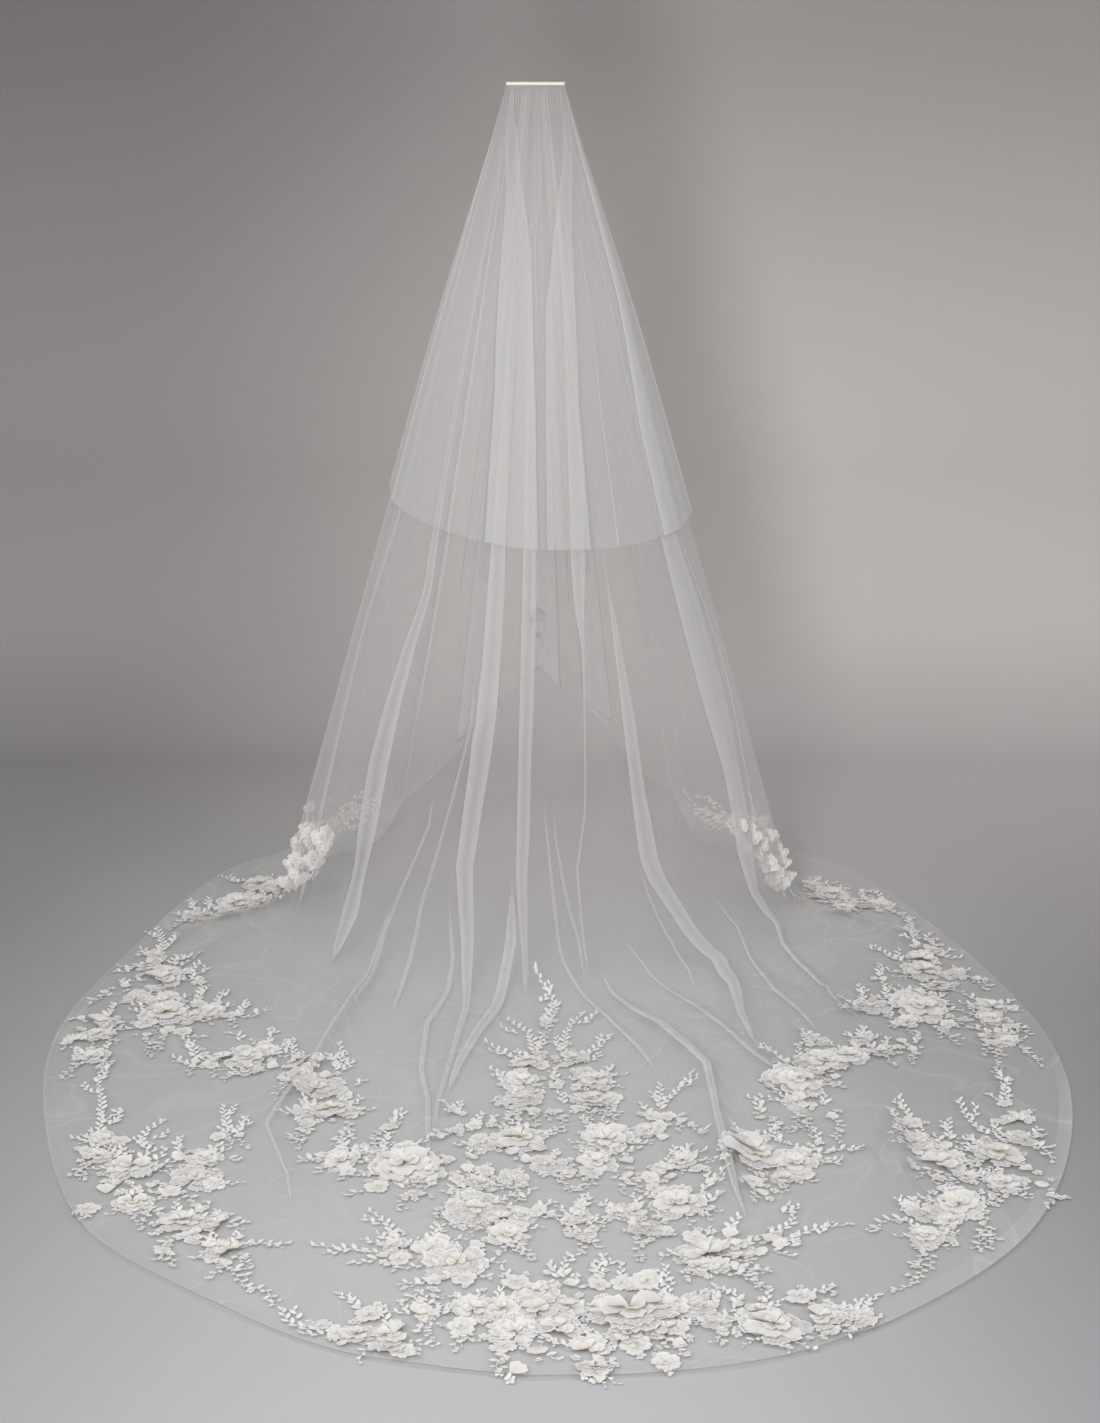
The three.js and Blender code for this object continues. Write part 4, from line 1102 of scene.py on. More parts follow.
# Lace sprays over the floor, in centimetres of the frame: layered blooms and flat flowers as x, y
# and radius, and leafy sprigs as x and y of the root and of the tip
laceSprays = [
    {"name": "tree_top",
     "blooms": [(-1, -72.5, 2.4), (6, -71.5, 2.4)],
     "petals": [(0, -70, 1.5), (-2.5, -73, 1.6), (1, -74, 1.5), (5.5, -70, 1.4), (7.5, -71, 1.4),
        (5, -73.5, 1.3), (2, -57.5, 1.3)],
     "sprigs": [(2, -58, 0, -44.5), (2, -55, 3.5, -51), (1.5, -59, 2, -64), (0, -69, -4.5, -57.5),
        (0.5, -69, 1, -64), (-3, -72, -8, -66.5), (4.5, -69, 3.5, -64), (5, -69, 8, -55),
        (7.5, -71, 12.5, -63.5), (-1, -71, -3, -69), (8.5, -72.5, 10.5, -69.5)]},
    {"name": "tree_middle",
     "blooms": [(-2, -80, 3.0), (-1.5, -85.5, 3.2), (9.5, -79, 3.2), (9, -85.5, 3.3)],
     "petals": [(-2.5, -76.5, 1.8), (8, -76, 1.6), (12, -85.5, 1.8), (-4.5, -86.5, 1.3), (4, -89.5, 1.3),
        (3.5, -81, 1.2), (0, -89.5, 1.1), (11, -82, 1.2), (7, -88.5, 1.3)],
     "sprigs": [(-4.5, -80, -7, -75.5), (3.5, -80, 3.5, -75), (11, -78, 12.5, -74),
        (-4, -86.5, -6.5, -86.5), (4.5, -87, 4.5, -84), (-2, -88.5, -2.5, -93.5), (-3, -90, -4.5, -94),
        (0.5, -89, 0.5, -94), (1.5, -90, 2.5, -92.5), (4, -91, 4.5, -96), (10.5, -87, 13, -90),
        (11, -89, 12, -93.5), (9, -89, 9, -94.5)]},
    {"name": "tree_foot",
     "blooms": [(-2, -98.5, 4.0), (11, -98.5, 4.0), (2.5, -106.5, 2.8), (9.5, -105.5, 3.0)],
     "petals": [(1, -102, 2.2), (-3, -102, 1.8), (-4, -98, 1.6), (8.5, -108.5, 1.8), (13.5, -105.5, 1.8),
        (-1, -105.5, 1.5), (13.5, -98.5, 1.7), (5, -109, 1.3)],
     "sprigs": [(1, -96, 3, -97), (-1, -95.5, -4, -91), (9, -95, 7.5, -91.5), (4, -108.5, 6, -113.5),
        (9, -109, 6.5, -113.5), (3.5, -104.5, 3.5, -102), (13, -102.5, 16, -101), (12.5, -108, 12, -110)]},
    {"name": "tree_left",
     "blooms": [(-8, -119, 4.6), (-4.5, -122, 2.4), (-1.5, -121, 2.2), (-3.5, -126, 3.0), (-7, -99.5, 2.4),
        (-7.5, -112, 2.2), (-3, -110.5, 2.2), (-9.5, -115.5, 2.0)],
     "petals": [(-12, -90, 1.2), (-9, -94.5, 1.3), (-6.5, -93, 1.1), (-11.5, -96, 1.2), (-5.5, -98.5, 1.2),
        (-8.5, -104.5, 1.2), (-10, -107.5, 1.6), (-7, -108, 1.5), (-12.5, -105, 1.0), (-11, -110.5, 1.2),
        (-14, -98, 1.2), (1, -119.5, 1.3), (-2, -124, 1.6)],
     "sprigs": [(-12, -90, -11.5, -87), (-12, -90, -14.5, -88), (-9, -94, -8, -90.5),
        (-6.5, -93, -6, -91.5), (-11.5, -96, -15, -98.5), (-12, -105, -14.5, -104.5),
        (-9, -103.5, -9.5, -101), (-2.5, -112, -1.5, -116.5), (-1, -116, 0, -113.5), (2, -120, 5, -124),
        (1, -119, 3, -117), (-2, -128.5, 0, -132.5), (-3, -128.5, -4.5, -131), (-12, -117, -13.5, -121)]},
    {"name": "tree_right",
     "blooms": [(20.5, -117.5, 4.2), (15, -119.5, 2.4), (16, -124, 2.8), (22, -105, 2.2), (19.5, -108, 2.0),
        (17, -96, 2.2), (12, -120, 1.8)],
     "petals": [(18, -91, 1.4), (20.5, -91.5, 1.3), (23, -92.5, 1.3), (19, -94.5, 1.4), (16, -94.5, 1.2),
        (24, -107.5, 1.3), (20, -109.5, 1.6), (17, -110, 1.4), (14, -109, 1.4), (19, -98, 1.4),
        (23, -119, 1.6), (18.5, -125, 1.4), (17.5, -113, 1.3)],
     "sprigs": [(19.5, -89, 20, -81), (20, -87, 25, -78), (17.5, -90, 16.5, -87),
        (23.5, -93.5, 25.5, -97.5), (22, -93, 22, -96), (22, -103, 23.5, -100.5),
        (22.5, -103.5, 25.5, -102.5), (21, -103.5, 21, -101), (14, -110.5, 13, -114.5),
        (15, -110, 15.5, -114), (25, -117, 27, -115), (24.5, -119, 25, -122), (24, -114, 28, -109),
        (25, -113, 25.5, -109.5), (15.5, -127, 15, -132.5), (11, -121, 9, -124.5), (17.5, -126, 19.5, -126)]},
    {"name": "tree_tip",
     "blooms": [(6.5, -121, 2.0), (7, -125.5, 1.8)],
     "petals": [(1.5, -120, 1.2), (6.5, -118.5, 1.0)],
     "sprigs": [(7, -119.5, 7.5, -115), (7, -118, 8, -115.5), (7, -126.5, 7, -130.5), (7.5, -127, 9, -129),
        (8, -124, 8.5, -121.5), (6, -123, 5, -126)]},
    {"name": "front_left_a",
     "blooms": [(0.5, -145, 5.6), (-7.5, -144.5, 2.8), (3.5, -149, 3.0), (-2, -149.5, 3.2),
        (-4, -144.5, 2.8), (4.8, -144, 2.8), (1, -140.5, 2.6)],
     "petals": [(-2, -138, 2.0), (5, -138, 1.5), (-9, -148.5, 2.0), (1.5, -154, 2.0), (-3.5, -153, 1.7),
        (-2, -158, 1.9), (-5, -149, 1.8), (2.5, -136, 1.1)],
     "sprigs": [(3.5, -137, 2.5, -133.5), (4.5, -137, 5, -131), (5.5, -139, 7, -139),
        (-2.5, -137.5, -4, -134.5), (-7.5, -142.5, -6.5, -140), (-8.5, -143, -10, -141),
        (-9, -150, -9.5, -154), (-8, -150, -7.5, -151.5), (-4, -150, -4, -154), (-3, -155, -4, -159),
        (2, -155, 3.5, -156)]},
    {"name": "front_right_a",
     "blooms": [(13, -144.5, 5.6), (18, -144, 3.4), (22, -143.5, 2.8), (24, -147.5, 2.2), (17.5, -149, 2.6),
        (12.5, -150, 2.8), (9.8, -144, 2.6)],
     "petals": [(15.5, -137.5, 2.2), (9, -138.5, 1.5), (12, -138, 1.6), (13.5, -152.5, 2.2),
        (19, -149, 1.6), (17, -156.5, 1.9), (19, -153, 1.6)],
     "sprigs": [(9.5, -137, 8.5, -133), (10, -136, 10, -131), (12, -137, 12, -133), (17, -139, 18, -134),
        (20.5, -143, 21.5, -140.5), (24, -144, 24.5, -139), (24, -150, 24.5, -152.5),
        (18.5, -152, 19.5, -155), (19, -149, 20.5, -151)]},
    {"name": "front_middle",
     "blooms": [(7.5, -153.5, 2.7), (8, -157.5, 2.2)],
     "petals": [(9, -156, 1.3), (6, -153, 1.2)],
     "sprigs": [(8.5, -154.5, 10.5, -153.5), (9, -156, 10.5, -156.5), (7, -157, 6, -158),
        (7, -151, 7.5, -149.5)]},
    {"name": "front_left_b",
     "blooms": [(-10, -133, 4.2), (-13.5, -129.5, 2.8), (-19, -128.5, 1.9)],
     "petals": [(-8, -128.5, 1.8), (-18, -132, 1.6), (-20.5, -131.5, 1.4), (-16, -130, 1.6),
        (-9, -137, 1.8), (-13, -137.5, 1.2)],
     "sprigs": [(-19, -127, -23, -119.5), (-18.5, -127, -18, -125), (-21, -130.5, -30, -128.5),
        (-21, -132, -24.5, -133), (-19, -133, -18.5, -135), (-13, -127.5, -13.5, -123),
        (-14.5, -127, -12.5, -125), (-10, -136, -17, -139.5), (-13, -139, -12.5, -143),
        (-14.5, -140, -17, -142.5), (-7.5, -136, -5.5, -137), (-7, -135, -6, -134)]},
    {"name": "front_right_b",
     "blooms": [(24, -131, 4.2), (28, -129.5, 2.8), (23, -134, 2.4)],
     "petals": [(22.5, -126.5, 1.7), (27, -125.5, 1.8), (32.5, -127, 1.8), (31.5, -130, 1.6),
        (34, -129, 1.7), (25.5, -133.5, 1.6)],
     "sprigs": [(32.5, -126, 36.5, -117.5), (27.5, -125, 29, -121.5), (34.5, -129, 44.5, -123),
        (33, -130, 35.5, -131.5), (35.5, -129, 36.5, -126), (25, -134, 30.5, -139), (27, -135, 32, -135.5),
        (22, -135, 21, -137.5), (28, -133, 31.5, -139.5)]},
    {"name": "hem_left",
     "blooms": [(-17.5, -150.5, 4.0), (-22.5, -150, 2.5), (-14.5, -146, 2.2)],
     "petals": [(-21, -145.5, 2.0), (-27, -148, 1.5), (-25, -149.5, 1.4), (-16, -154.5, 1.6),
        (-24, -152, 1.3)],
     "sprigs": [(-28, -149, -32.5, -144.5), (-22, -144, -25.5, -140.5), (-16, -145, -17, -143),
        (-13.5, -145.5, -14.5, -140.5), (-13, -145, -10, -143), (-26.5, -150, -29.5, -150),
        (-13.5, -149.5, -12.5, -152), (-12, -146.5, -10, -145)]},
    {"name": "hem_right",
     "blooms": [(31.5, -148.5, 4.4), (37.5, -146.5, 3.2), (30, -145, 2.4), (42, -147, 2.6)],
     "petals": [(35.5, -141.5, 2.0), (27.5, -143.5, 1.4), (33, -151.5, 1.6), (38.5, -149.5, 1.4)],
     "sprigs": [(36, -141, 40, -139), (39.5, -138.5, 40, -141), (31, -143, 31.5, -140.5),
        (27, -143, 25, -139.5), (27.5, -145, 27, -149), (43, -146.5, 46, -141), (43, -147, 45.5, -146),
        (37.5, -149, 37.5, -151.5)]},
    {"name": "wing_left_a",
     "blooms": [(-59, -106.5, 3.9), (-57, -117, 2.8), (-64.5, -98.5, 2.2), (-64.5, -103.5, 2.2)],
     "petals": [(-62, -99, 1.5), (-62, -113.5, 2.0), (-63, -119, 1.8), (-66.5, -102, 1.3), (-60, -112, 1.3),
        (-55.5, -112.5, 1.2), (-62, -108, 1.3)],
     "sprigs": [(-65, -97, -64.5, -91), (-66, -93.5, -69, -80), (-69, -80, -68.5, -74),
        (-64.5, -94, -63.5, -89.5), (-66, -98, -69.5, -98), (-66.5, -104, -67.5, -109.5),
        (-65.5, -105, -65, -110.5), (-57.5, -102, -56.5, -92.5), (-58.5, -101, -60, -98.5),
        (-55.5, -105, -55, -101.5), (-54.5, -106, -53.5, -107), (-63, -120, -63, -122),
        (-57, -119.5, -56, -121.5), (-54.5, -119, -54.5, -124.5)]},
    {"name": "wing_left_b",
     "blooms": [(-49, -110.5, 3.8), (-48.5, -104.5, 2.6), (-49, -122.5, 3.5), (-44, -123, 2.4),
        (-46.5, -126, 2.0)],
     "petals": [(-47.5, -98, 1.3), (-44.5, -98, 1.3), (-52, -104.5, 1.8), (-52, -114, 1.6),
        (-47.5, -118, 1.2), (-50.5, -130, 1.2), (-46, -112, 1.6)],
     "sprigs": [(-47, -96.5, -47, -94), (-45.5, -97, -48, -88), (-44.5, -97, -44, -92),
        (-44, -98.5, -42.5, -101.5), (-52.5, -102, -53, -98), (-45, -104.5, -43.5, -105),
        (-49.5, -115, -48.5, -117), (-53, -114.5, -55, -114), (-53.5, -119.5, -52, -121),
        (-43.5, -122, -42.5, -120.5), (-42.5, -122.5, -40, -122.5), (-51, -124, -52.5, -126),
        (-50, -127, -50, -132.5), (-49.5, -131, -48.5, -134)]},
    {"name": "wing_left_c",
     "blooms": [(-41.5, -130, 2.8), (-44, -129.5, 1.8)],
     "petals": [(-43.5, -132, 1.2), (-41, -133, 1.2), (-42.5, -128, 1.0)],
     "sprigs": [(-40, -128, -33.5, -128), (-41, -128, -40.5, -126), (-40, -130.5, -39, -131),
        (-44.5, -130.5, -46, -132), (-41.5, -133.5, -43, -137), (-40, -134.5, -38, -134.5),
        (-40.5, -134, -38, -139), (-38, -139, -34, -143.5)]},
    {"name": "wing_right_a",
     "blooms": [(60, -106, 3.8), (58, -99, 2.4), (63, -109.5, 1.8)],
     "petals": [(58, -93, 1.6), (56, -93.5, 1.3), (62, -100, 1.6), (64, -105.5, 1.2), (57.5, -102.5, 1.3)],
     "sprigs": [(58, -92, 57, -85.5), (55.5, -92.5, 55, -89), (56, -94.5, 54.5, -101),
        (62.5, -98.5, 63.5, -92.5), (63.5, -99, 65.5, -101.5), (61, -99.5, 60.5, -97),
        (61.5, -111, 60.5, -113), (64, -109, 65.5, -108), (65, -101.5, 66, -99.5)]},
    {"name": "wing_right_b",
     "blooms": [(69, -103, 4.2), (68, -111.5, 2.8), (74, -92.5, 2.0), (73.5, -98.5, 2.4)],
     "petals": [(73, -87, 1.2), (71.5, -93, 1.2), (76, -92, 1.0), (72, -108, 1.6), (74, -112.5, 1.5),
        (74, -115.5, 1.3), (71, -111, 1.2)],
     "sprigs": [(74, -86, 75.5, -79), (73, -86, 71, -84), (74.5, -80, 74, -76), (68.5, -97, 66, -87),
        (70, -96, 70, -93), (76, -95.5, 76.5, -98), (74.5, -100.5, 76.5, -105.5), (75.5, -101, 77.5, -101),
        (66.5, -100, 65.5, -97.5), (66.5, -104, 64.5, -108), (67, -114.5, 66.5, -116.5),
        (75, -115, 76.5, -115.5), (74, -117, 73, -118.5)]},
    {"name": "wing_right_c",
     "blooms": [(60.5, -117.5, 3.8), (55.5, -120, 2.6), (54.5, -126, 2.6), (58.5, -122, 2.2)],
     "petals": [(59, -114, 1.6), (63, -117, 1.5), (57.5, -127, 1.2), (54.5, -129, 1.4), (62.5, -121, 1.2)],
     "sprigs": [(62.5, -116, 64.5, -114), (63.5, -117.5, 66, -115), (55, -118, 53, -118),
        (63, -121.5, 63, -129.5), (62.5, -125, 61.5, -130), (64, -124, 64.5, -127),
        (54, -124, 52.5, -121.5), (52.5, -121.5, 47.5, -125), (54, -130, 52, -134), (53, -132.5, 48, -140),
        (54.5, -131, 54, -134.5), (66, -115.5, 66, -118)]},
    {"name": "inner_left_c",
     "blooms": [(-19, -106, 5.0), (-28.5, -105, 3.0), (-23.5, -103, 2.4), (-15, -109, 2.4)],
     "petals": [(-21, -108, 2.2), (-19, -101, 1.6), (-22.5, -112.5, 1.8), (-17, -114.5, 1.4),
        (-27, -108, 1.3), (-14.5, -106, 1.6), (-20, -110.5, 1.8), (-22, -94.5, 1.4)],
     "sprigs": [(-22.5, -98.5, -24, -102), (-22, -93, -20.5, -89), (-23.5, -95, -23.5, -101),
        (-22.5, -101, -22.5, -95), (-30.5, -103.5, -34.5, -105.5), (-28, -101.5, -28.5, -95.5),
        (-30.5, -106.5, -31.5, -108.5), (-27, -108.5, -28, -110.5), (-24.5, -113.5, -26.5, -115),
        (-18.5, -113, -19, -111), (-18, -115, -19, -119), (-15.5, -114, -14.5, -115.5),
        (-17.5, -100, -15.5, -98.5)]},
    {"name": "inner_left_b",
     "blooms": [(-34, -82, 4.2), (-31, -89, 3.4), (-37, -79.5, 2.6), (-36.5, -74, 2.0), (-35, -89.5, 2.2)],
     "petals": [(-33, -78.5, 1.8), (-29.5, -84.5, 1.4), (-38.5, -74.5, 1.4), (-34.5, -93.5, 1.5),
        (-28, -91, 1.2)],
     "sprigs": [(-38.5, -73, -40, -65), (-40.5, -69.5, -39.5, -68), (-39, -72, -37.5, -70.5),
        (-32, -76, -32, -67), (-31.5, -75, -33.5, -71.5), (-31, -76, -30.5, -71.5),
        (-38, -81, -40.5, -78.5), (-38.5, -83, -40, -87.5), (-28.5, -81, -27, -79.5),
        (-34, -95, -35, -101.5), (-35, -94.5, -36.5, -98.5), (-28, -93, -27, -98.5),
        (-29, -95.5, -29, -100)]},
    {"name": "inner_left_a",
     "blooms": [(-46.5, -71.5, 3.4), (-50.5, -71.5, 2.6), (-44, -69, 2.4), (-46, -75.5, 2.4)],
     "petals": [(-53.5, -69.5, 1.3), (-47.5, -68, 1.4), (-54.5, -73, 1.3), (-52, -73.5, 1.3),
        (-42, -75, 1.6)],
     "sprigs": [(-48.5, -65, -51, -62), (-55, -71.5, -58, -64.5), (-54, -74.5, -58.5, -71),
        (-55, -74, -55, -77.5), (-51, -74, -51, -78), (-43.5, -66.5, -44, -61), (-42.5, -69, -40, -65)]},
    {"name": "outer_left_a",
     "blooms": [(-65.5, -41, 4.0), (-69, -34.5, 2.6), (-68, -30.5, 2.0), (-65, -38, 2.6),
        (-68.5, -48.5, 2.2)],
     "petals": [(-70, -29.5, 1.3), (-63, -48.5, 1.6), (-71.5, -36.5, 1.4), (-71, -44, 1.5), (-74, -46, 1.2),
        (-66, -45, 1.4)],
     "sprigs": [(-67.5, -28.5, -70, -18.5), (-67, -27, -66, -21.5), (-70.5, -29.5, -71.5, -27),
        (-64, -33, -60, -29.5), (-63, -36, -61, -33), (-64, -35, -64, -30.5), (-71.5, -37.5, -74, -37.5),
        (-71, -42.5, -72, -41), (-74.5, -47, -76, -51)]},
    {"name": "outer_left_b",
     "blooms": [(-62.5, -54.5, 4.6), (-63.5, -50.5, 2.6), (-58.5, -56, 2.6), (-55, -54, 2.4)],
     "petals": [(-63, -48, 1.8), (-65, -58, 2.0), (-58.5, -62, 1.6), (-51.5, -55.5, 1.4), (-57.5, -51, 1.6),
        (-59, -42.5, 1.1), (-64.5, -63, 1.3), (-61, -61, 1.3)],
     "sprigs": [(-58, -50, -58.5, -41), (-58.5, -42, -59.5, -35.5), (-54, -52, -53, -46),
        (-50, -55, -49.5, -50), (-51, -55.5, -45, -54.5), (-50.5, -57, -50, -60), (-55, -56.5, -54, -59),
        (-58, -63, -54.5, -63.5), (-63, -64.5, -62, -71), (-61.5, -63, -61, -68), (-65, -60, -69, -61),
        (-66, -52, -68.5, -51.5)]},
    {"name": "outer_left_c",
     "blooms": [(-73, -58.5, 3.0), (-72.5, -63, 2.4), (-71.5, -71, 2.6), (-75, -65, 1.8)],
     "petals": [(-76.5, -57, 1.2), (-71, -68.5, 1.3), (-72.5, -72, 1.4)],
     "sprigs": [(-72.5, -56, -72, -51), (-71, -56.5, -69, -60), (-76, -66, -77, -68.5),
        (-70, -72.5, -68, -73.5), (-73, -73, -75, -78.5), (-74, -72, -74.5, -70), (-70, -74, -69, -79),
        (-69.5, -68, -70, -66)]},
    {"name": "back_left",
     "blooms": [(-57, -6, 3.6), (-53, -5, 2.6), (-57.5, -10.5, 2.6), (-64, -12, 2.4), (-54, 3.5, 3.0),
        (-50, 2, 3.0)],
     "petals": [(-60.5, -9, 1.4), (-62, -11, 1.2), (-58.5, -13, 1.3), (-54.5, 1.5, 1.4), (-49.5, -5.5, 1.2)],
     "sprigs": [(-64.5, -9.5, -66, -5), (-62, -8, -62.5, -4), (-65, -13.5, -67.5, -19),
        (-65.5, -12.5, -67.5, -11.5), (-58, 4, -62, 8), (-52, -3, -53.5, 1.5), (-50, -7, -48, -10)]},
    {"name": "back_right",
     "blooms": [(56.5, -2, 3.6), (62, -6.5, 2.2), (65, -7, 2.4), (58, -8.5, 2.2), (53.5, 3, 2.6)],
     "petals": [(58.5, -9, 1.3), (53, -3, 1.2), (60.5, -6, 1.2), (66, -9, 1.2)],
     "sprigs": [(62.5, -4, 62.5, 0.5), (65.5, -5, 65, 0), (58.5, -10.5, 58, -13), (59, -11, 60.5, -14.5),
        (66.5, -9.5, 69, -13.5), (68.5, -20, 70, -13.5), (68.5, -21, 66.5, -17.5), (50.5, -3, 48, -4),
        (50.5, -5, 48, -8)]},
    {"name": "outer_right_a",
     "blooms": [(68.5, -37.5, 4.0), (69, -32, 2.6), (70, -43.5, 2.6), (71.5, -28.5, 1.8),
        (73.5, -38.5, 2.0)],
     "petals": [(71.5, -24, 1.1), (72, -26.5, 1.2), (68.5, -26, 1.2), (72.5, -30.5, 1.3), (77, -40.5, 1.4),
        (66, -36, 1.4)],
     "sprigs": [(71.5, -23, 72.5, -20.5), (68, -25, 66.5, -24), (65, -33, 61, -26), (65.5, -32, 65.5, -28),
        (72.5, -30, 75, -28.5), (73, -31.5, 76, -31.5), (73.5, -37, 74, -36), (77, -40, 79, -43.5),
        (76.5, -41.5, 78, -45), (68, -25.5, 69.5, -22.5), (68.5, -24, 69, -19)]},
    {"name": "outer_right_b",
     "blooms": [(65.5, -52.5, 5.0), (57.5, -52, 3.0), (63, -49, 2.6), (66, -47, 2.4), (62.5, -58, 2.2)],
     "petals": [(60.5, -41, 1.2), (55, -51, 1.3), (59.5, -50.5, 1.4), (69, -59, 1.4), (66.5, -58, 1.3)],
     "sprigs": [(60.5, -49, 60.5, -42), (60.5, -39.5, 61, -34.5), (56.5, -49.5, 56, -44),
        (54, -52, 52, -49), (54.5, -54, 52, -54), (69, -48, 70.5, -46.5), (69.5, -50, 71, -51),
        (67, -59.5, 67, -64), (68, -60, 69.5, -66.5), (61, -59.5, 60, -60), (62.5, -62.5, 62.5, -66)]},
    {"name": "outer_right_c",
     "blooms": [(77.5, -52, 3.2), (76.5, -56.5, 2.4), (76, -62.5, 2.2), (77.5, -65.5, 2.0)],
     "petals": [(74, -63, 1.2), (75, -66, 1.3), (79.5, -59.5, 1.4), (72, -57, 1.1)],
     "sprigs": [(75.5, -49.5, 74, -47), (79.5, -51, 81.5, -49.5), (80, -59, 82, -60),
        (80.5, -60, 82, -62.5), (73, -56, 71, -57.5), (71.5, -57.5, 70.5, -60), (79, -64, 79.5, -67.5),
        (79.5, -68, 81.5, -74.5), (75, -68.5, 74, -75), (76, -67.5, 76, -70.5), (74.5, -67, 73, -70.5)]},
    {"name": "inner_right_a",
     "blooms": [(47, -72, 3.6), (51.5, -70.5, 3.0), (56.5, -69.5, 2.2), (54, -64.5, 1.8), (46.5, -65, 2.0),
        (44, -73, 2.0)],
     "petals": [(60, -65.5, 1.5), (61.5, -68, 1.4), (46, -63.5, 1.3), (53, -66, 1.2), (49, -74.5, 1.6)],
     "sprigs": [(45, -64, 44, -61), (54.5, -62.5, 54.5, -60), (62, -66, 63.5, -62.5), (62, -69, 61, -73.5),
        (57.5, -71, 58, -74), (41, -74, 37.5, -68), (40, -72.5, 38.5, -74.5), (57.5, -67.5, 58.5, -64)]},
    {"name": "inner_right_b",
     "blooms": [(42, -80, 4.6), (46, -76.5, 2.6), (41.5, -86.5, 2.6), (38.5, -79, 2.2)],
     "petals": [(44, -83, 1.6), (43.5, -87.5, 1.3), (47.5, -78, 1.3), (35, -91.5, 1.3), (45.5, -91, 1.6)],
     "sprigs": [(35, -90, 35.5, -84.5), (35.5, -86, 33.5, -84.5), (36.5, -91.5, 37, -96.5),
        (45, -87, 45.5, -84.5), (46, -92, 47, -94.5), (46.5, -95, 46, -99.5), (47, -79.5, 48.5, -81.5),
        (41, -90, 39.5, -96), (42, -91, 42, -98)]},
    {"name": "inner_right_c",
     "blooms": [(33, -103, 5.2), (38.5, -105.5, 3.4), (41, -103.5, 2.4), (36.5, -110, 2.2),
        (32.5, -99, 2.4)],
     "petals": [(36, -103.5, 1.8), (32, -112, 1.6), (33.5, -115, 1.3), (42.5, -99.5, 1.3),
        (39.5, -109, 1.8)],
     "sprigs": [(33, -97.5, 30, -95), (37, -98.5, 37, -94), (42.5, -99, 42.5, -95), (43.5, -102, 49, -101),
        (43, -104.5, 45, -106), (39.5, -110.5, 41, -111), (32, -113.5, 31.5, -117.5), (31, -111, 30, -113)]},
    {"name": "side_left",
     "blooms": [(9, -2, 2.4), (12, 0, 2.2), (3, -2.5, 2.0), (13.5, 1.5, 1.6), (16, 2.5, 1.5), (15, -1, 1.5),
        (-12, -0.5, 2.0), (-20, 4, 2.0), (-22, 1.5, 2.0), (-14, -5, 2.0), (-12, 4, 1.8), (-27, 6, 1.8),
        (-2, 2, 1.8), (-28, 10.5, 2.2), (-22, 9, 1.7), (-17, 9, 1.6)],
     "petals": [(-5, 6, 1.3), (-4, 9.5, 1.1), (19, 3.5, 1.3), (6, 3, 1.4), (-9, 6, 1.3), (18.5, 0, 1.2),
        (22, 3.5, 1.1), (-15, 7, 1.2)],
     "sprigs": [(-8, 5.5, -6, 11), (-6, 5, 1, 9), (12, 0, 27, 5), (16, 2, 22, 7), (15, -1, 25, -1),
        (14, 1, 20, 6.5), (8, 2, 10, 8), (18, 3, 26, 2), (-16, 5, -15, 10)]},
    {"name": "side_right",
     "blooms": [(9, -1, 2.2), (14, -1.5, 2.2), (12, -4, 1.8), (4, -3, 2.0), (21, 0.5, 1.6), (22.5, -2, 1.4),
        (18, 0.5, 1.6), (-12, 2, 2.0), (-12, -1, 2.0), (-22, 3, 2.0), (-20, 0, 2.0), (-12, -4.5, 2.0),
        (-18, -3, 1.8), (0, 1, 2.0), (6, 2, 1.6), (-28, 11, 2.2), (-24, 8, 2.0), (-18, 8, 1.7),
        (-32, 14, 1.8)],
     "petals": [(24, 1.5, 1.3), (16, 2.5, 1.2), (7, 5, 1.3), (2, 5, 1.2), (-12, 6, 1.3), (25, -2, 1.1),
        (10, 3, 1.3)],
     "sprigs": [(21, 0.5, 31, 4.5), (18, 1, 27, 5), (18, -3, 28, -1.5), (22, -2, 29, 0), (6, 5, 7, 10),
        (4, 4, 1, 9), (-12, 5, -13, 10), (12, 2, 14, 7)]},
]

lace = {
    "leafGap": 0.0072,
    "leafSize": 0.0125,
    "leafSlant": 40.0,  # degrees between a leaf and its stem
    "leafDroop": -0.25,
    "leafTaper": (1.15, 0.5),  # size of the first leaf, and how much smaller the last one is
    "leafWobble": (0.7, 1.2),
    "flowerTilt": 0.16,
    "stemRadius": 0.0006,
    "stemTone": 0.9,
    "fullBlooms": 4,  # the first kinds of motif, used for the layered blooms
    "disc": 4,
    "shell": 5,
    "blossom": 6,
    "fullTurn": 6.283,
    "seed": 5,
    "aboveCloth": 0.0016,
    "flatness": 0.8,  # share of a motif's drawn height that is kept
    # The side sprays, by place along them: flowers of the far half face into the tent, the net carries
    # them on both its faces, and they turn to the near side
    "sideStand": [(-0.09, 1.0), (-0.08, -1.0)],
    "sideInset": [(-0.12, 0.004), (-0.05, 0.005)],
    "sideLean": [(-0.2, -1.0), (-0.05, -1.15), (0.12, -0.6), (0.3, -0.3)],
    # the side sprays' lace is painted a little lighter, standing in for the light that reaches it through the
    # near tulle
    "sidePaintedLight": 1.02,
    "sideAngle": 100.0,  # degrees round the comb of the middle of a side spray
    "sideRun": 0.95,
    "sideRuns": (0.7, 1.2),  # it stays between these
    "sideWidth": 0.0078,  # metres to a degree there
    "sideLength": 1.57,  # metres to a whole run
}

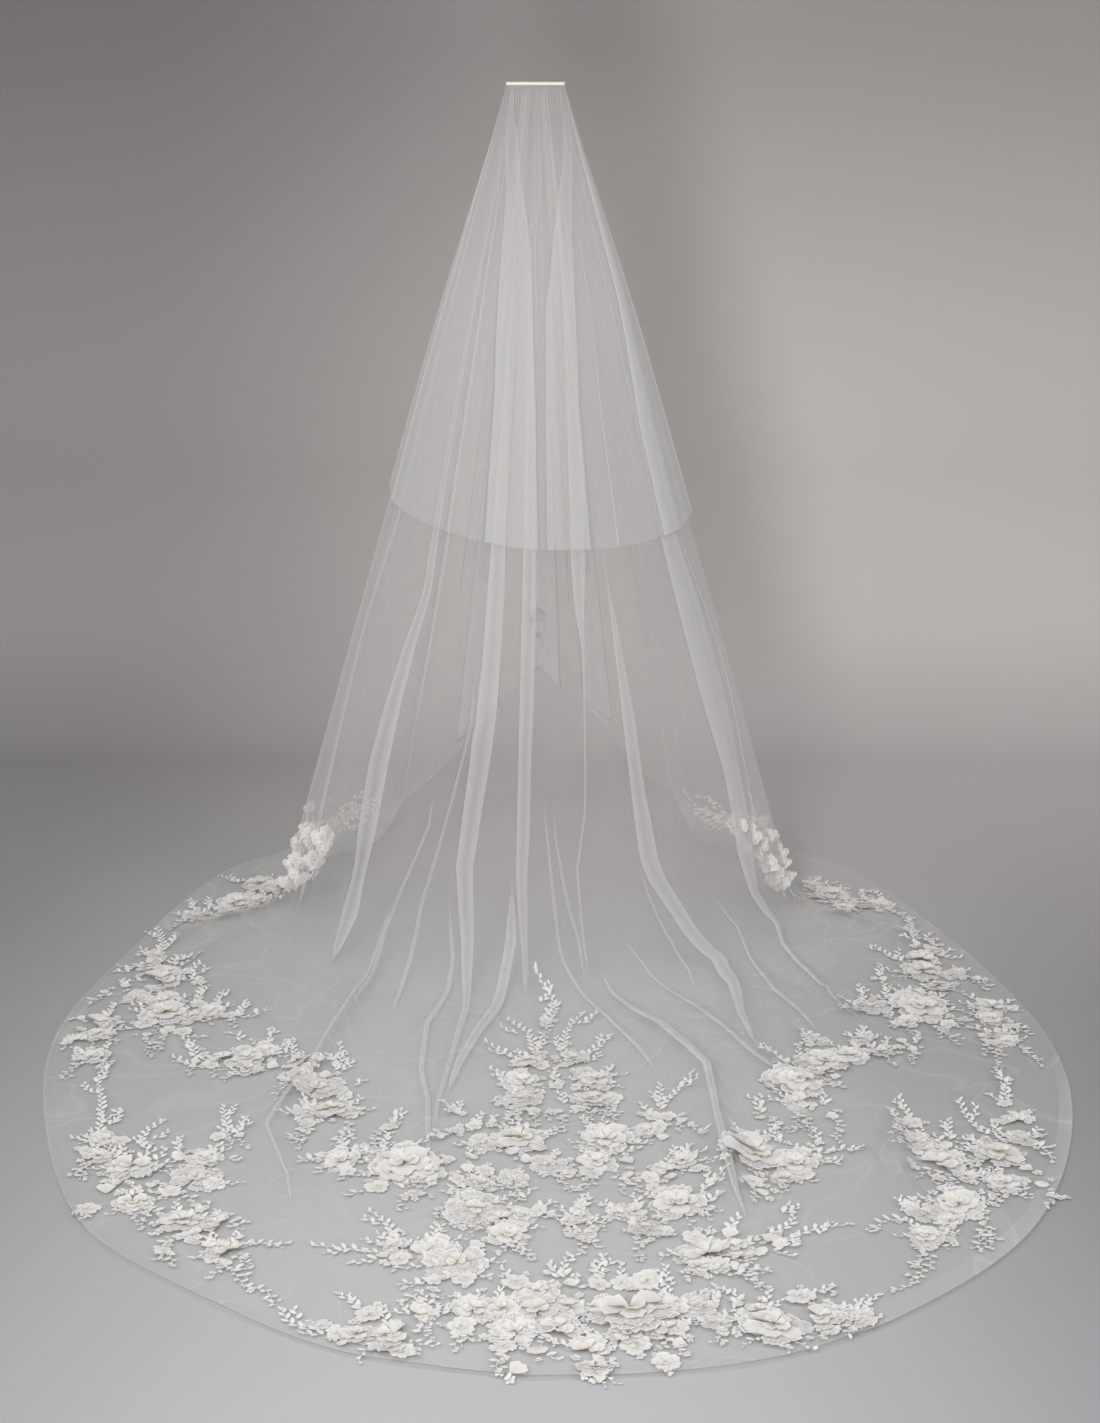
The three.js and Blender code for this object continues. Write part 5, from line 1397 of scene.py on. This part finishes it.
# Small flowers and leaves round a spray's own ones, in centimetres or in shares. A pair is the least
# value and what chance adds to it
scatter = {
    "seed": 700,
    "bloomSize": 1.05,
    "discSize": 1.08,
    "shellSize": 0.85,
    "discShare": 0.6,
    "roundBloom": (4, 1.6),  # how many, and how many more for each centimetre of its radius
    "roundAway": (1.0, 0.25),
    "clearance": 0.1,
    "leafyShare": 0.5,
    "leafyRoot": 0.6,
    "leafyReach": (1.0, 1.3),
    "leafyBow": 0.15,
    "blossomSize": (0.55, 0.35),
    "roundPetal": 2,
    "petalAway": 1.15,
    "petalBlossom": (0.45, 0.3),
    "sprigStep": 0.8,
    "sprigBow": 0.10,
    "tipSize": 0.38,
    "branchFrom": 4,  # a sprig longer than this has a side branch and a bud
    "branchAt": (0.35, 0.4),
    "branchAlong": 0.28,
    "branchAside": 0.16,
    "branchBow": 0.1,
    "budAt": 0.2,
    "budSize": 0.6,
}


# One spray's layout: loose points that take a motif, and lines of points that take leaves
def sprayLayout(spray, number):
    rng = np.random.default_rng(scatter["seed"] + number)
    points, edges, size, kind, turn, lean = [], [], [], [], [], []
    atSide = spray["name"].startswith("side")

    def chance(pair):
        return pair[0] + pair[1] * rng.random()

    def flower(x, y, radius, motif):
        points.append((x / 100, y / 100, 0))
        size.append(radius / 100)
        kind.append(motif)
        turn.append(rng.random() * lace["fullTurn"])
        lean.append(np.interp(x / 100, *zip(*lace["sideLean"])) if atSide else 0)

    def sprig(x0, y0, x1, y1, bow):
        start = len(points)
        steps = max(3, int(math.hypot(x1 - x0, y1 - y0) / scatter["sprigStep"]))
        for k in range(steps + 1):
            share = k / steps
            side = bow * math.sin(share * math.pi)
            points.append(((x0 + (x1 - x0) * share - (y1 - y0) * side) / 100,
                           (y0 + (y1 - y0) * share + (x1 - x0) * side) / 100, 0))
            for values in (size, kind, turn, lean):
                values.append(0)
            if k:
                edges.append((start + k - 1, start + k))

    solid = spray["blooms"] + spray["petals"]
    for x, y, radius in spray["blooms"]:
        flower(x, y, radius * scatter["bloomSize"], int(rng.integers(lace["fullBlooms"])))
        others = [flat for flat in solid if flat[:2] != (x, y)]
        least, more = scatter["roundBloom"]
        for k in range(int(least + radius * more)):
            angle = rng.random() * lace["fullTurn"]
            away = radius * chance(scatter["roundAway"])
            cos, sin = math.cos(angle), math.sin(angle)
            px, py = x + away * cos, y + away * sin
            if any(math.hypot(px - a, py - b) - c < scatter["clearance"] for a, b, c in others):
                continue
            if rng.random() < scatter["leafyShare"]:
                root = scatter["leafyRoot"] * radius
                reach = chance(scatter["leafyReach"])
                sprig(x + root * cos, y + root * sin, px + reach * cos, py + reach * sin,
                      scatter["leafyBow"] * rng.normal())
            else:
                flower(px, py, chance(scatter["blossomSize"]), lace["blossom"])
    for x, y, radius in spray["petals"]:
        if rng.random() < scatter["discShare"]:
            flower(x, y, radius * scatter["discSize"], lace["disc"])
        else:
            flower(x, y, radius * scatter["shellSize"], lace["shell"])
        for k in range(scatter["roundPetal"]):
            angle = rng.random() * lace["fullTurn"]
            away = radius * scatter["petalAway"]
            flower(x + away * math.cos(angle), y + away * math.sin(angle),
                   chance(scatter["petalBlossom"]), lace["blossom"])
    for x0, y0, x1, y1 in spray["sprigs"]:
        dx, dy = x1 - x0, y1 - y0
        sprig(x0, y0, x1, y1, scatter["sprigBow"] * rng.normal())
        if math.hypot(dx, dy) > scatter["branchFrom"]:
            share = chance(scatter["branchAt"])
            side = 1 if rng.random() < 0.5 else -1
            mx, my = x0 + dx * share, y0 + dy * share
            along, aside = scatter["branchAlong"], scatter["branchAside"]
            sprig(mx, my, mx + dx * along - side * dy * aside, my + dy * along + side * dx * aside,
                  scatter["branchBow"] * side)
            share = scatter["budAt"]
            flower(x0 + dx * share, y0 + dy * share, scatter["budSize"], lace["blossom"])
        flower(x1, y1, scatter["tipSize"], lace["blossom"])
    mesh = bpy.data.meshes.new("layout")
    mesh.from_pydata(points, edges, [])
    for name, values in (("size", size), ("turn", turn), ("lean", lean)):
        mesh.attributes.new(name, "FLOAT", "POINT").data.foreach_set("value", np.array(values, np.float32))
    mesh.attributes.new("kind", "INT", "POINT").data.foreach_set("value", np.array(kind, np.int32))
    return addObject("layout", mesh)


# Geometry Nodes tree that hangs motifs on the loose points and leaves along the lines
class Tree:
    def __init__(self, name):
        self.group = bpy.data.node_groups.new(name, "GeometryNodeTree")
        self.group.interface.new_socket("Geometry", in_out="INPUT", socket_type="NodeSocketGeometry")
        self.group.interface.new_socket("Geometry", in_out="OUTPUT", socket_type="NodeSocketGeometry")
        self.start = self.group.nodes.new("NodeGroupInput")

    def input(self, name, kind, value=None):
        socket = self.group.interface.new_socket(name, in_out="INPUT", socket_type=kind)
        if value is not None:
            socket.default_value = value
        return self.start.outputs[name]

    def node(self, kind, settings=None, sockets=None):
        made = self.group.nodes.new(kind)
        for name, value in (settings or {}).items():
            setattr(made, name, value)
        for name, value in (sockets or {}).items():
            if isinstance(value, bpy.types.NodeSocket):
                self.group.links.new(value, made.inputs[name])
            else:
                made.inputs[name].default_value = value
        return made

    def maths(self, operation, first, second=0.0):
        return self.node("ShaderNodeMath", {"operation": operation}, {0: first, 1: second}).outputs[0]

    def attribute(self, name, kind="FLOAT"):
        made = self.node("GeometryNodeInputNamedAttribute", {"data_type": kind}, {"Name": name})
        return made.outputs["Attribute"]


def laceTree():
    tree = Tree("lace")
    motifs = tree.input("Motifs", "NodeSocketCollection")
    leaf = tree.input("Leaf", "NodeSocketObject")
    gap = tree.input("Leaf gap", "NodeSocketFloat", lace["leafGap"])
    leafSize = tree.input("Leaf size", "NodeSocketFloat", lace["leafSize"])
    slant = tree.input("Leaf slant", "NodeSocketFloat", math.radians(lace["leafSlant"]))
    stem = tree.input("Stem radius", "NodeSocketFloat", lace["stemRadius"])
    seed = tree.input("Seed", "NodeSocketInt", lace["seed"])
    material = tree.input("Material", "NodeSocketMaterial")
    layout = tree.start.outputs["Geometry"]

    size = tree.attribute("size")
    isFlower = tree.node("FunctionNodeCompare", {"operation": "GREATER_THAN"}, {0: size, 1: 0.0}).outputs[0]
    dots = tree.node("GeometryNodeMeshToPoints", None, {"Mesh": layout, "Selection": isFlower}).outputs[0]
    family = tree.node("GeometryNodeCollectionInfo", None,
                       {"Collection": motifs, "Separate Children": True, "Reset Children": True}).outputs[0]
    most = lace["flowerTilt"]
    tilt = tree.node("FunctionNodeRandomValue", {"data_type": "FLOAT_VECTOR"},
                     {0: (-most, -most, 0.0), 1: (most, most, 0.0), "Seed": seed}).outputs[0]
    spin = tree.node("ShaderNodeCombineXYZ", None, {"Z": tree.attribute("turn")}).outputs[0]
    facing = tree.node("ShaderNodeVectorMath", {"operation": "ADD"}, {0: tilt, 1: spin}).outputs[0]
    lean = tree.node("ShaderNodeCombineXYZ", None, {"Y": tree.attribute("lean")}).outputs[0]
    facing = tree.node("FunctionNodeRotateRotation", {"rotation_space": "GLOBAL"},
                       {0: facing, 1: lean}).outputs[0]
    flowers = tree.node("GeometryNodeInstanceOnPoints", None,
                        {"Points": dots, "Instance": family, "Pick Instance": True,
                         "Instance Index": tree.attribute("kind", "INT"), "Rotation": facing,
                         "Scale": size}).outputs[0]

    curve = tree.node("GeometryNodeMeshToCurve", None, {"Mesh": layout}).outputs[0]
    along = tree.node("GeometryNodeResampleCurve", {"mode": "LENGTH"},
                      {"Curve": curve, "Length": gap}).outputs[0]
    parameter = tree.node("GeometryNodeSplineParameter").outputs["Factor"]
    tangent = tree.node("GeometryNodeInputTangent").outputs[0]
    index = tree.node("GeometryNodeInputIndex").outputs[0]
    side = tree.maths("SUBTRACT", tree.maths("MULTIPLY", tree.maths("MODULO", index, 2.0), 2.0), 1.0)
    least, most = lace["leafWobble"]
    wobble = tree.node("FunctionNodeRandomValue", None, {2: least, 3: most, "Seed": seed}).outputs[1]
    turned = tree.maths("MULTIPLY", tree.maths("MULTIPLY", side, slant), wobble)
    droop = tree.node("ShaderNodeCombineXYZ", None, {"Z": turned, "Y": lace["leafDroop"]}).outputs[0]
    aligned = tree.node("FunctionNodeAlignRotationToVector", {"axis": "X", "pivot_axis": "Z"},
                        {"Vector": tangent}).outputs[0]
    leafTurn = tree.node("FunctionNodeRotateRotation", {"rotation_space": "LOCAL"},
                         {0: aligned, 1: droop}).outputs[0]
    first, less = lace["leafTaper"]
    taper = tree.maths("SUBTRACT", first, tree.maths("MULTIPLY", parameter, less))
    leafLength = tree.maths("MULTIPLY", tree.maths("MULTIPLY", leafSize, taper), wobble)
    foliage = tree.node("GeometryNodeObjectInfo", None, {"Object": leaf}).outputs["Geometry"]
    leaves = tree.node("GeometryNodeInstanceOnPoints", None,
                       {"Points": along, "Instance": foliage, "Rotation": leafTurn,
                        "Scale": leafLength}).outputs[0]

    ring = tree.node("GeometryNodeCurvePrimitiveCircle", None, {"Resolution": 4, "Radius": stem}).outputs[0]
    tube = tree.node("GeometryNodeCurveToMesh", None,
                     {"Curve": along, "Profile Curve": ring, "Fill Caps": True}).outputs[0]
    tube = tree.node("GeometryNodeStoreNamedAttribute", {"data_type": "FLOAT", "domain": "POINT"},
                     {"Geometry": tube, "Name": "tone", "Value": lace["stemTone"]}).outputs[0]

    join = tree.node("GeometryNodeJoinGeometry")
    for part in (flowers, leaves, tube):
        tree.group.links.new(part, join.inputs[0])
    real = tree.node("GeometryNodeRealizeInstances", None, {"Geometry": join.outputs[0]}).outputs[0]
    done = tree.node("GeometryNodeSetMaterial", None, {"Geometry": real, "Material": material}).outputs[0]
    end = tree.group.nodes.new("NodeGroupOutput")
    tree.group.links.new(done, end.inputs[0])
    return tree.group


def growSpray(spray, number, group, motifs, leaf, material):
    layout = sprayLayout(spray, number)
    grown = layout.modifiers.new("lace", "NODES")
    grown.node_group = group
    values = {"Motifs": motifs, "Leaf": leaf, "Seed": lace["seed"] + number, "Material": material}
    for item in group.interface.items_tree:
        if item.item_type == "SOCKET" and item.in_out == "INPUT" and item.name in values:
            grown[item.identifier] = values[item.name]
    graph = bpy.context.evaluated_depsgraph_get()
    mesh = bpy.data.meshes.new_from_object(layout.evaluated_get(graph))
    bpy.data.objects.remove(layout)
    mesh.name = "lace" + str(number)
    return mesh


# Height of the cloth over the floor, read from the long tier once, a little smoothed
def clothHeights(tier):
    grid = {
        "x": -0.86,
        "y": -1.66,
        "wide": 1.76,
        "deep": 2.06,
        "step": 0.006,
        "below": -1.40,  # only cloth under this height is read
        "from": -1.42,
        "reach": 0.2,
        "sink": 0.001,  # how far smoothing may lower a point
    }
    step = grid["step"]
    columns, rows = int(grid["wide"] / step), int(grid["deep"] / step)
    mesh = tier.data
    vertices = [v.co for v in mesh.vertices]
    low = [p.vertices for p in mesh.polygons if mesh.vertices[p.vertices[0]].co.z < grid["below"]]
    hull = BVHTree.FromPolygons(vertices, low)
    heights = np.full((rows, columns), -tent["drop"] + tent["clearance"])
    for row in range(rows):
        for column in range(columns):
            at = Vector((grid["x"] + column * step, grid["y"] + row * step, grid["from"]))
            hit = hull.ray_cast(at, Vector((0, 0, -1)), grid["reach"])
            if hit[0]:
                heights[row, column] = hit[0].z
    padded = np.pad(heights, 1, mode="edge")
    nine = [padded[i:i + rows, j:j + columns] for i in range(3) for j in range(3)]
    grid["heights"] = np.maximum(sum(nine) / len(nine), heights - grid["sink"])
    return grid


def heightAt(grid, x, y):
    rows, columns = grid["heights"].shape
    column = np.clip((x - grid["x"]) / grid["step"], 0, columns - 1.001)
    row = np.clip((y - grid["y"]) / grid["step"], 0, rows - 1.001)
    c, r = column.astype(int), row.astype(int)
    u, v = column - c, row - r
    h = grid["heights"]
    near = h[r, c] * (1 - u) + h[r, c + 1] * u
    far = h[r + 1, c] * (1 - u) + h[r + 1, c + 1] * u
    return near * (1 - v) + far * v


def laySpray(mesh, name, grid):
    flat = np.empty(len(mesh.vertices) * 3, np.float32)
    mesh.vertices.foreach_get("co", flat)
    flat = flat.reshape(-1, 3).astype(float)
    if name.startswith("side"):
        side = -1 if name == "side_left" else 1
        angle = side * (lace["sideAngle"] + flat[:, 0] / lace["sideWidth"])
        run = np.clip(lace["sideRun"] - flat[:, 1] / lace["sideLength"], *lace["sideRuns"])
        inset = np.interp(flat[:, 0], *zip(*lace["sideInset"]))
        stand = np.interp(flat[:, 0], *zip(*lace["sideStand"]))
        out = clothOffsets(angle, run) - inset + flat[:, 2] * stand
        points = barePoint(angle, run) + bareNormal(angle, run) * out[:, None]
    else:
        points = flat.copy()
        height = heightAt(grid, flat[:, 0], flat[:, 1])
        points[:, 2] = height + lace["aboveCloth"] + flat[:, 2] * lace["flatness"]
    mesh.vertices.foreach_set("co", points.reshape(-1).astype(np.float32))
    mesh.update()
    return addObject(name, mesh)


# Embroidery: petals of fine net filled with stitches, corded at the rim, and petals of whole cloth, painted a
# darker cream towards each petal's root as shade where the petals overlap
def laceMaterial(name, paintedLight):
    look = {
        "grain": {"Scale": 560.0, "Detail": 1.0},
        "patch": {"Scale": 60.0, "Detail": 0.0},
        "grainShare": 0.6,
        "veins": (20.0, 7.0, 0.06),  # waves from rim to rim, their wander and depth
        "scallops": (26.0, 6.0, 0.05),
        "stitchLevel": 0.2,
        "cord": (0.88, 0.95),  # tones between which the corded rim sets in
        "cordHeight": 0.8,
        "filled": (0.36, 0.60, 0.50, 0.95),
        "rough": (0.3, 0.7, 0.6, 0.85),
        "uneven": 0.5,
        # painted shade: a darker cream at each petal's root, where the petals overlap, rising to the whiter
        # corded rim; part of the cream is the thread's own
        "creamAndShade": [(0.0, (0.66, 0.59, 0.49)), (0.35, (0.78, 0.745, 0.69)), (0.75, (0.84, 0.825, 0.80)),
                  (1.0, (0.87, 0.86, 0.84))],
        "whitest": 0.98,
        "through": 0.18,
    }
    material, wire = newMaterial(name)
    place = wire.node("ShaderNodeTexCoord", output=3)
    tone, thread, sheer = (wire.node("ShaderNodeAttribute", {"attribute_name": kind}, output=2)
                           for kind in ("tone", "thread", "sheer"))
    grain, patch = (wire.node("ShaderNodeTexNoise", None, {"Vector": place, **look[kind]})
                    for kind in ("grain", "patch"))

    def waves(value, count, wander, depth):
        return (value * count + patch * wander).sine() * depth

    stitches = grain * look["grainShare"] + waves(thread, *look["veins"]) + waves(tone, *look["scallops"])
    stitches = stitches + look["stitchLevel"]
    cord = tone.ease(*look["cord"])
    filled = stitches.ramp(*look["filled"])
    cover = wire.maths("MAXIMUM", wire.maths("MAXIMUM", filled, cord), 1 - sheer)
    shade = (tone + (patch - 0.5) * look["uneven"]).ramp(0.0, 1.0)
    # colours lightened by a share of painted light, above 1 for the side sprays
    stops = [(at, tuple(min(look["whitest"], c * paintedLight) for c in rgb)) for at, rgb in look["creamAndShade"]]
    # painted shade: darker cream towards each petal's root
    colour = wire.node("ShaderNodeValToRGB", {"stops": stops}, {0: shade})
    bump = wire.node("ShaderNodeBump", None,
                     {"Strength": 0.6, "Distance": 0.0015, "Height": stitches + cord * look["cordHeight"]})
    stitched = wire.node("ShaderNodeBsdfPrincipled", None,
                         {"Base Color": colour, "Roughness": grain.ramp(*look["rough"]), "Normal": bump,
                          "Specular IOR Level": 0.3, "Sheen Weight": 0.2})
    through = wire.node("ShaderNodeBsdfTranslucent", None, {"Color": (*stops[2][1], 1)})
    solid = mixShader(wire, look["through"], stitched, through)
    clear = wire.node("ShaderNodeBsdfTransparent")
    showShader(wire, mixShader(wire, cover, clear, solid))
    return material


# Clear plastic comb: a thin film of gloss over what shows through it
def combMaterial():
    material, wire = newMaterial("clearPlastic")
    edge = wire.node("ShaderNodeLayerWeight", None, {"Blend": 0.35}, output=1)
    place = wire.node("ShaderNodeTexCoord", output=3)
    cloud = wire.node("ShaderNodeTexNoise", None, {"Vector": place, "Scale": 90.0, "Detail": 1.0})
    rough = cloud.ramp(0.3, 0.7, 0.12, 0.22)
    film = wire.node("ShaderNodeBsdfPrincipled", None,
                     {"Base Color": (0.86, 0.85, 0.82, 1), "Roughness": rough, "IOR": 1.49,
                      "Coat Weight": 0.3})
    clear = wire.node("ShaderNodeBsdfTransparent", None, {"Color": (0.97, 0.965, 0.955, 1)})
    showShader(wire, mixShader(wire, edge.ramp(0.2, 1.0, 0.10, 0.42), clear, film))
    return material


# Satin strip wound over the comb and the gathers, with a row of hand stitches
def bindingMaterial():
    material, wire = newMaterial("satin")
    place = wire.node("ShaderNodeTexCoord", output=3)
    stretch = wire.node("ShaderNodeMapping", None, {"Vector": place, "Scale": (900.0, 900.0, 160.0)})
    weave = wire.node("ShaderNodeTexNoise", None, {"Vector": stretch, "Scale": 1.0, "Detail": 1.0})
    colour = mixColour(wire, weave, (0.74, 0.69, 0.60, 1), (0.84, 0.80, 0.72, 1))
    bump = wire.node("ShaderNodeBump", None, {"Strength": 0.4, "Distance": 0.0006, "Height": weave})
    satin = wire.node("ShaderNodeBsdfPrincipled", None,
                      {"Base Color": colour, "Roughness": 0.42, "Sheen Weight": 0.3, "Normal": bump})
    showShader(wire, satin)
    return material


# The strip over the comb: a rounded tube pulled in and puckered where the thread winds round it
def makeBinding():
    strip = {
        "half": 0.0505,
        "depth": 0.0062,
        "height": 0.0036,
        "middle": -0.0016,
        "along": 205,
        "around": 20,
        "turns": 34,  # winds of the thread
        "twist": 0.5,
        "pucker": 0.0006,
        "puckerLevel": 0.6,
        "capStart": 0.985,
        "capShrink": 0.35,
    }
    rows, columns = strip["along"], strip["around"]
    along, around = np.meshgrid(np.linspace(-1, 1, rows), np.arange(columns), indexing="ij")
    turn = around * 2 * math.pi / columns
    wave = np.cos(along * strip["turns"] * math.pi + strip["twist"] * np.sin(turn))
    shrink = 1 - (np.abs(along) > strip["capStart"]) * strip["capShrink"]
    swell = 1 + strip["pucker"] / strip["height"] * (np.abs(wave) - strip["puckerLevel"])
    x = along * strip["half"]
    y = np.cos(turn) * strip["depth"] * swell * shrink
    z = strip["middle"] + np.sin(turn) * strip["height"] * swell * shrink
    faces = gridFaces(rows, columns, True).tolist()
    last = rows * columns - 1
    faces += [list(range(columns)), list(range(last, last - columns, -1))]
    mesh = bpy.data.meshes.new("binding")
    mesh.from_pydata(np.stack([x, y, z], -1).reshape(-1, 3).tolist(), [], faces)
    mesh.polygons.foreach_set("use_smooth", [True] * len(mesh.polygons))
    mesh.materials.append(bindingMaterial())
    made = addObject("binding", mesh)
    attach(made, "root")
    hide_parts("comb_binding")
    print("binding ready")


def makeLace():
    motifs, leaf = makeMotifs()
    group = laceTree()
    material = laceMaterial("embroidery", 1.0)
    # a lighter copy of the lace for the side sprays: painted light
    sideMaterial = laceMaterial("embroiderySideBrightened", lace["sidePaintedLight"])
    grid = clothHeights(longTier)
    print("cloth heights read")
    total = 0
    for number, spray in enumerate(laceSprays):
        ownMaterial = sideMaterial if spray["name"].startswith("side") else material
        mesh = growSpray(spray, number, group, motifs, leaf, ownMaterial)
        piece = laySpray(mesh, spray["name"], grid)
        total += len(mesh.loop_triangles) or sum(len(p.vertices) - 2 for p in mesh.polygons)
        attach(piece, "root")
        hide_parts("lace_" + spray["name"])
    print("lace triangles", total)


makeStudio()
longTier = makeLongTier()
shortTier = makeShortTier()
for piece, node in ((longTier, "long_tier"), (shortTier, "short_tier")):
    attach(piece, "root")
    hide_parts(node)
area = {piece.name: sum(face.area for face in piece.data.polygons) for piece in (longTier, shortTier)}
print("cloth areas", area)

makeBinding()
comb = nodes["comb"]
comb.data.materials.clear()
comb.data.materials.append(combMaterial())
makeLace()
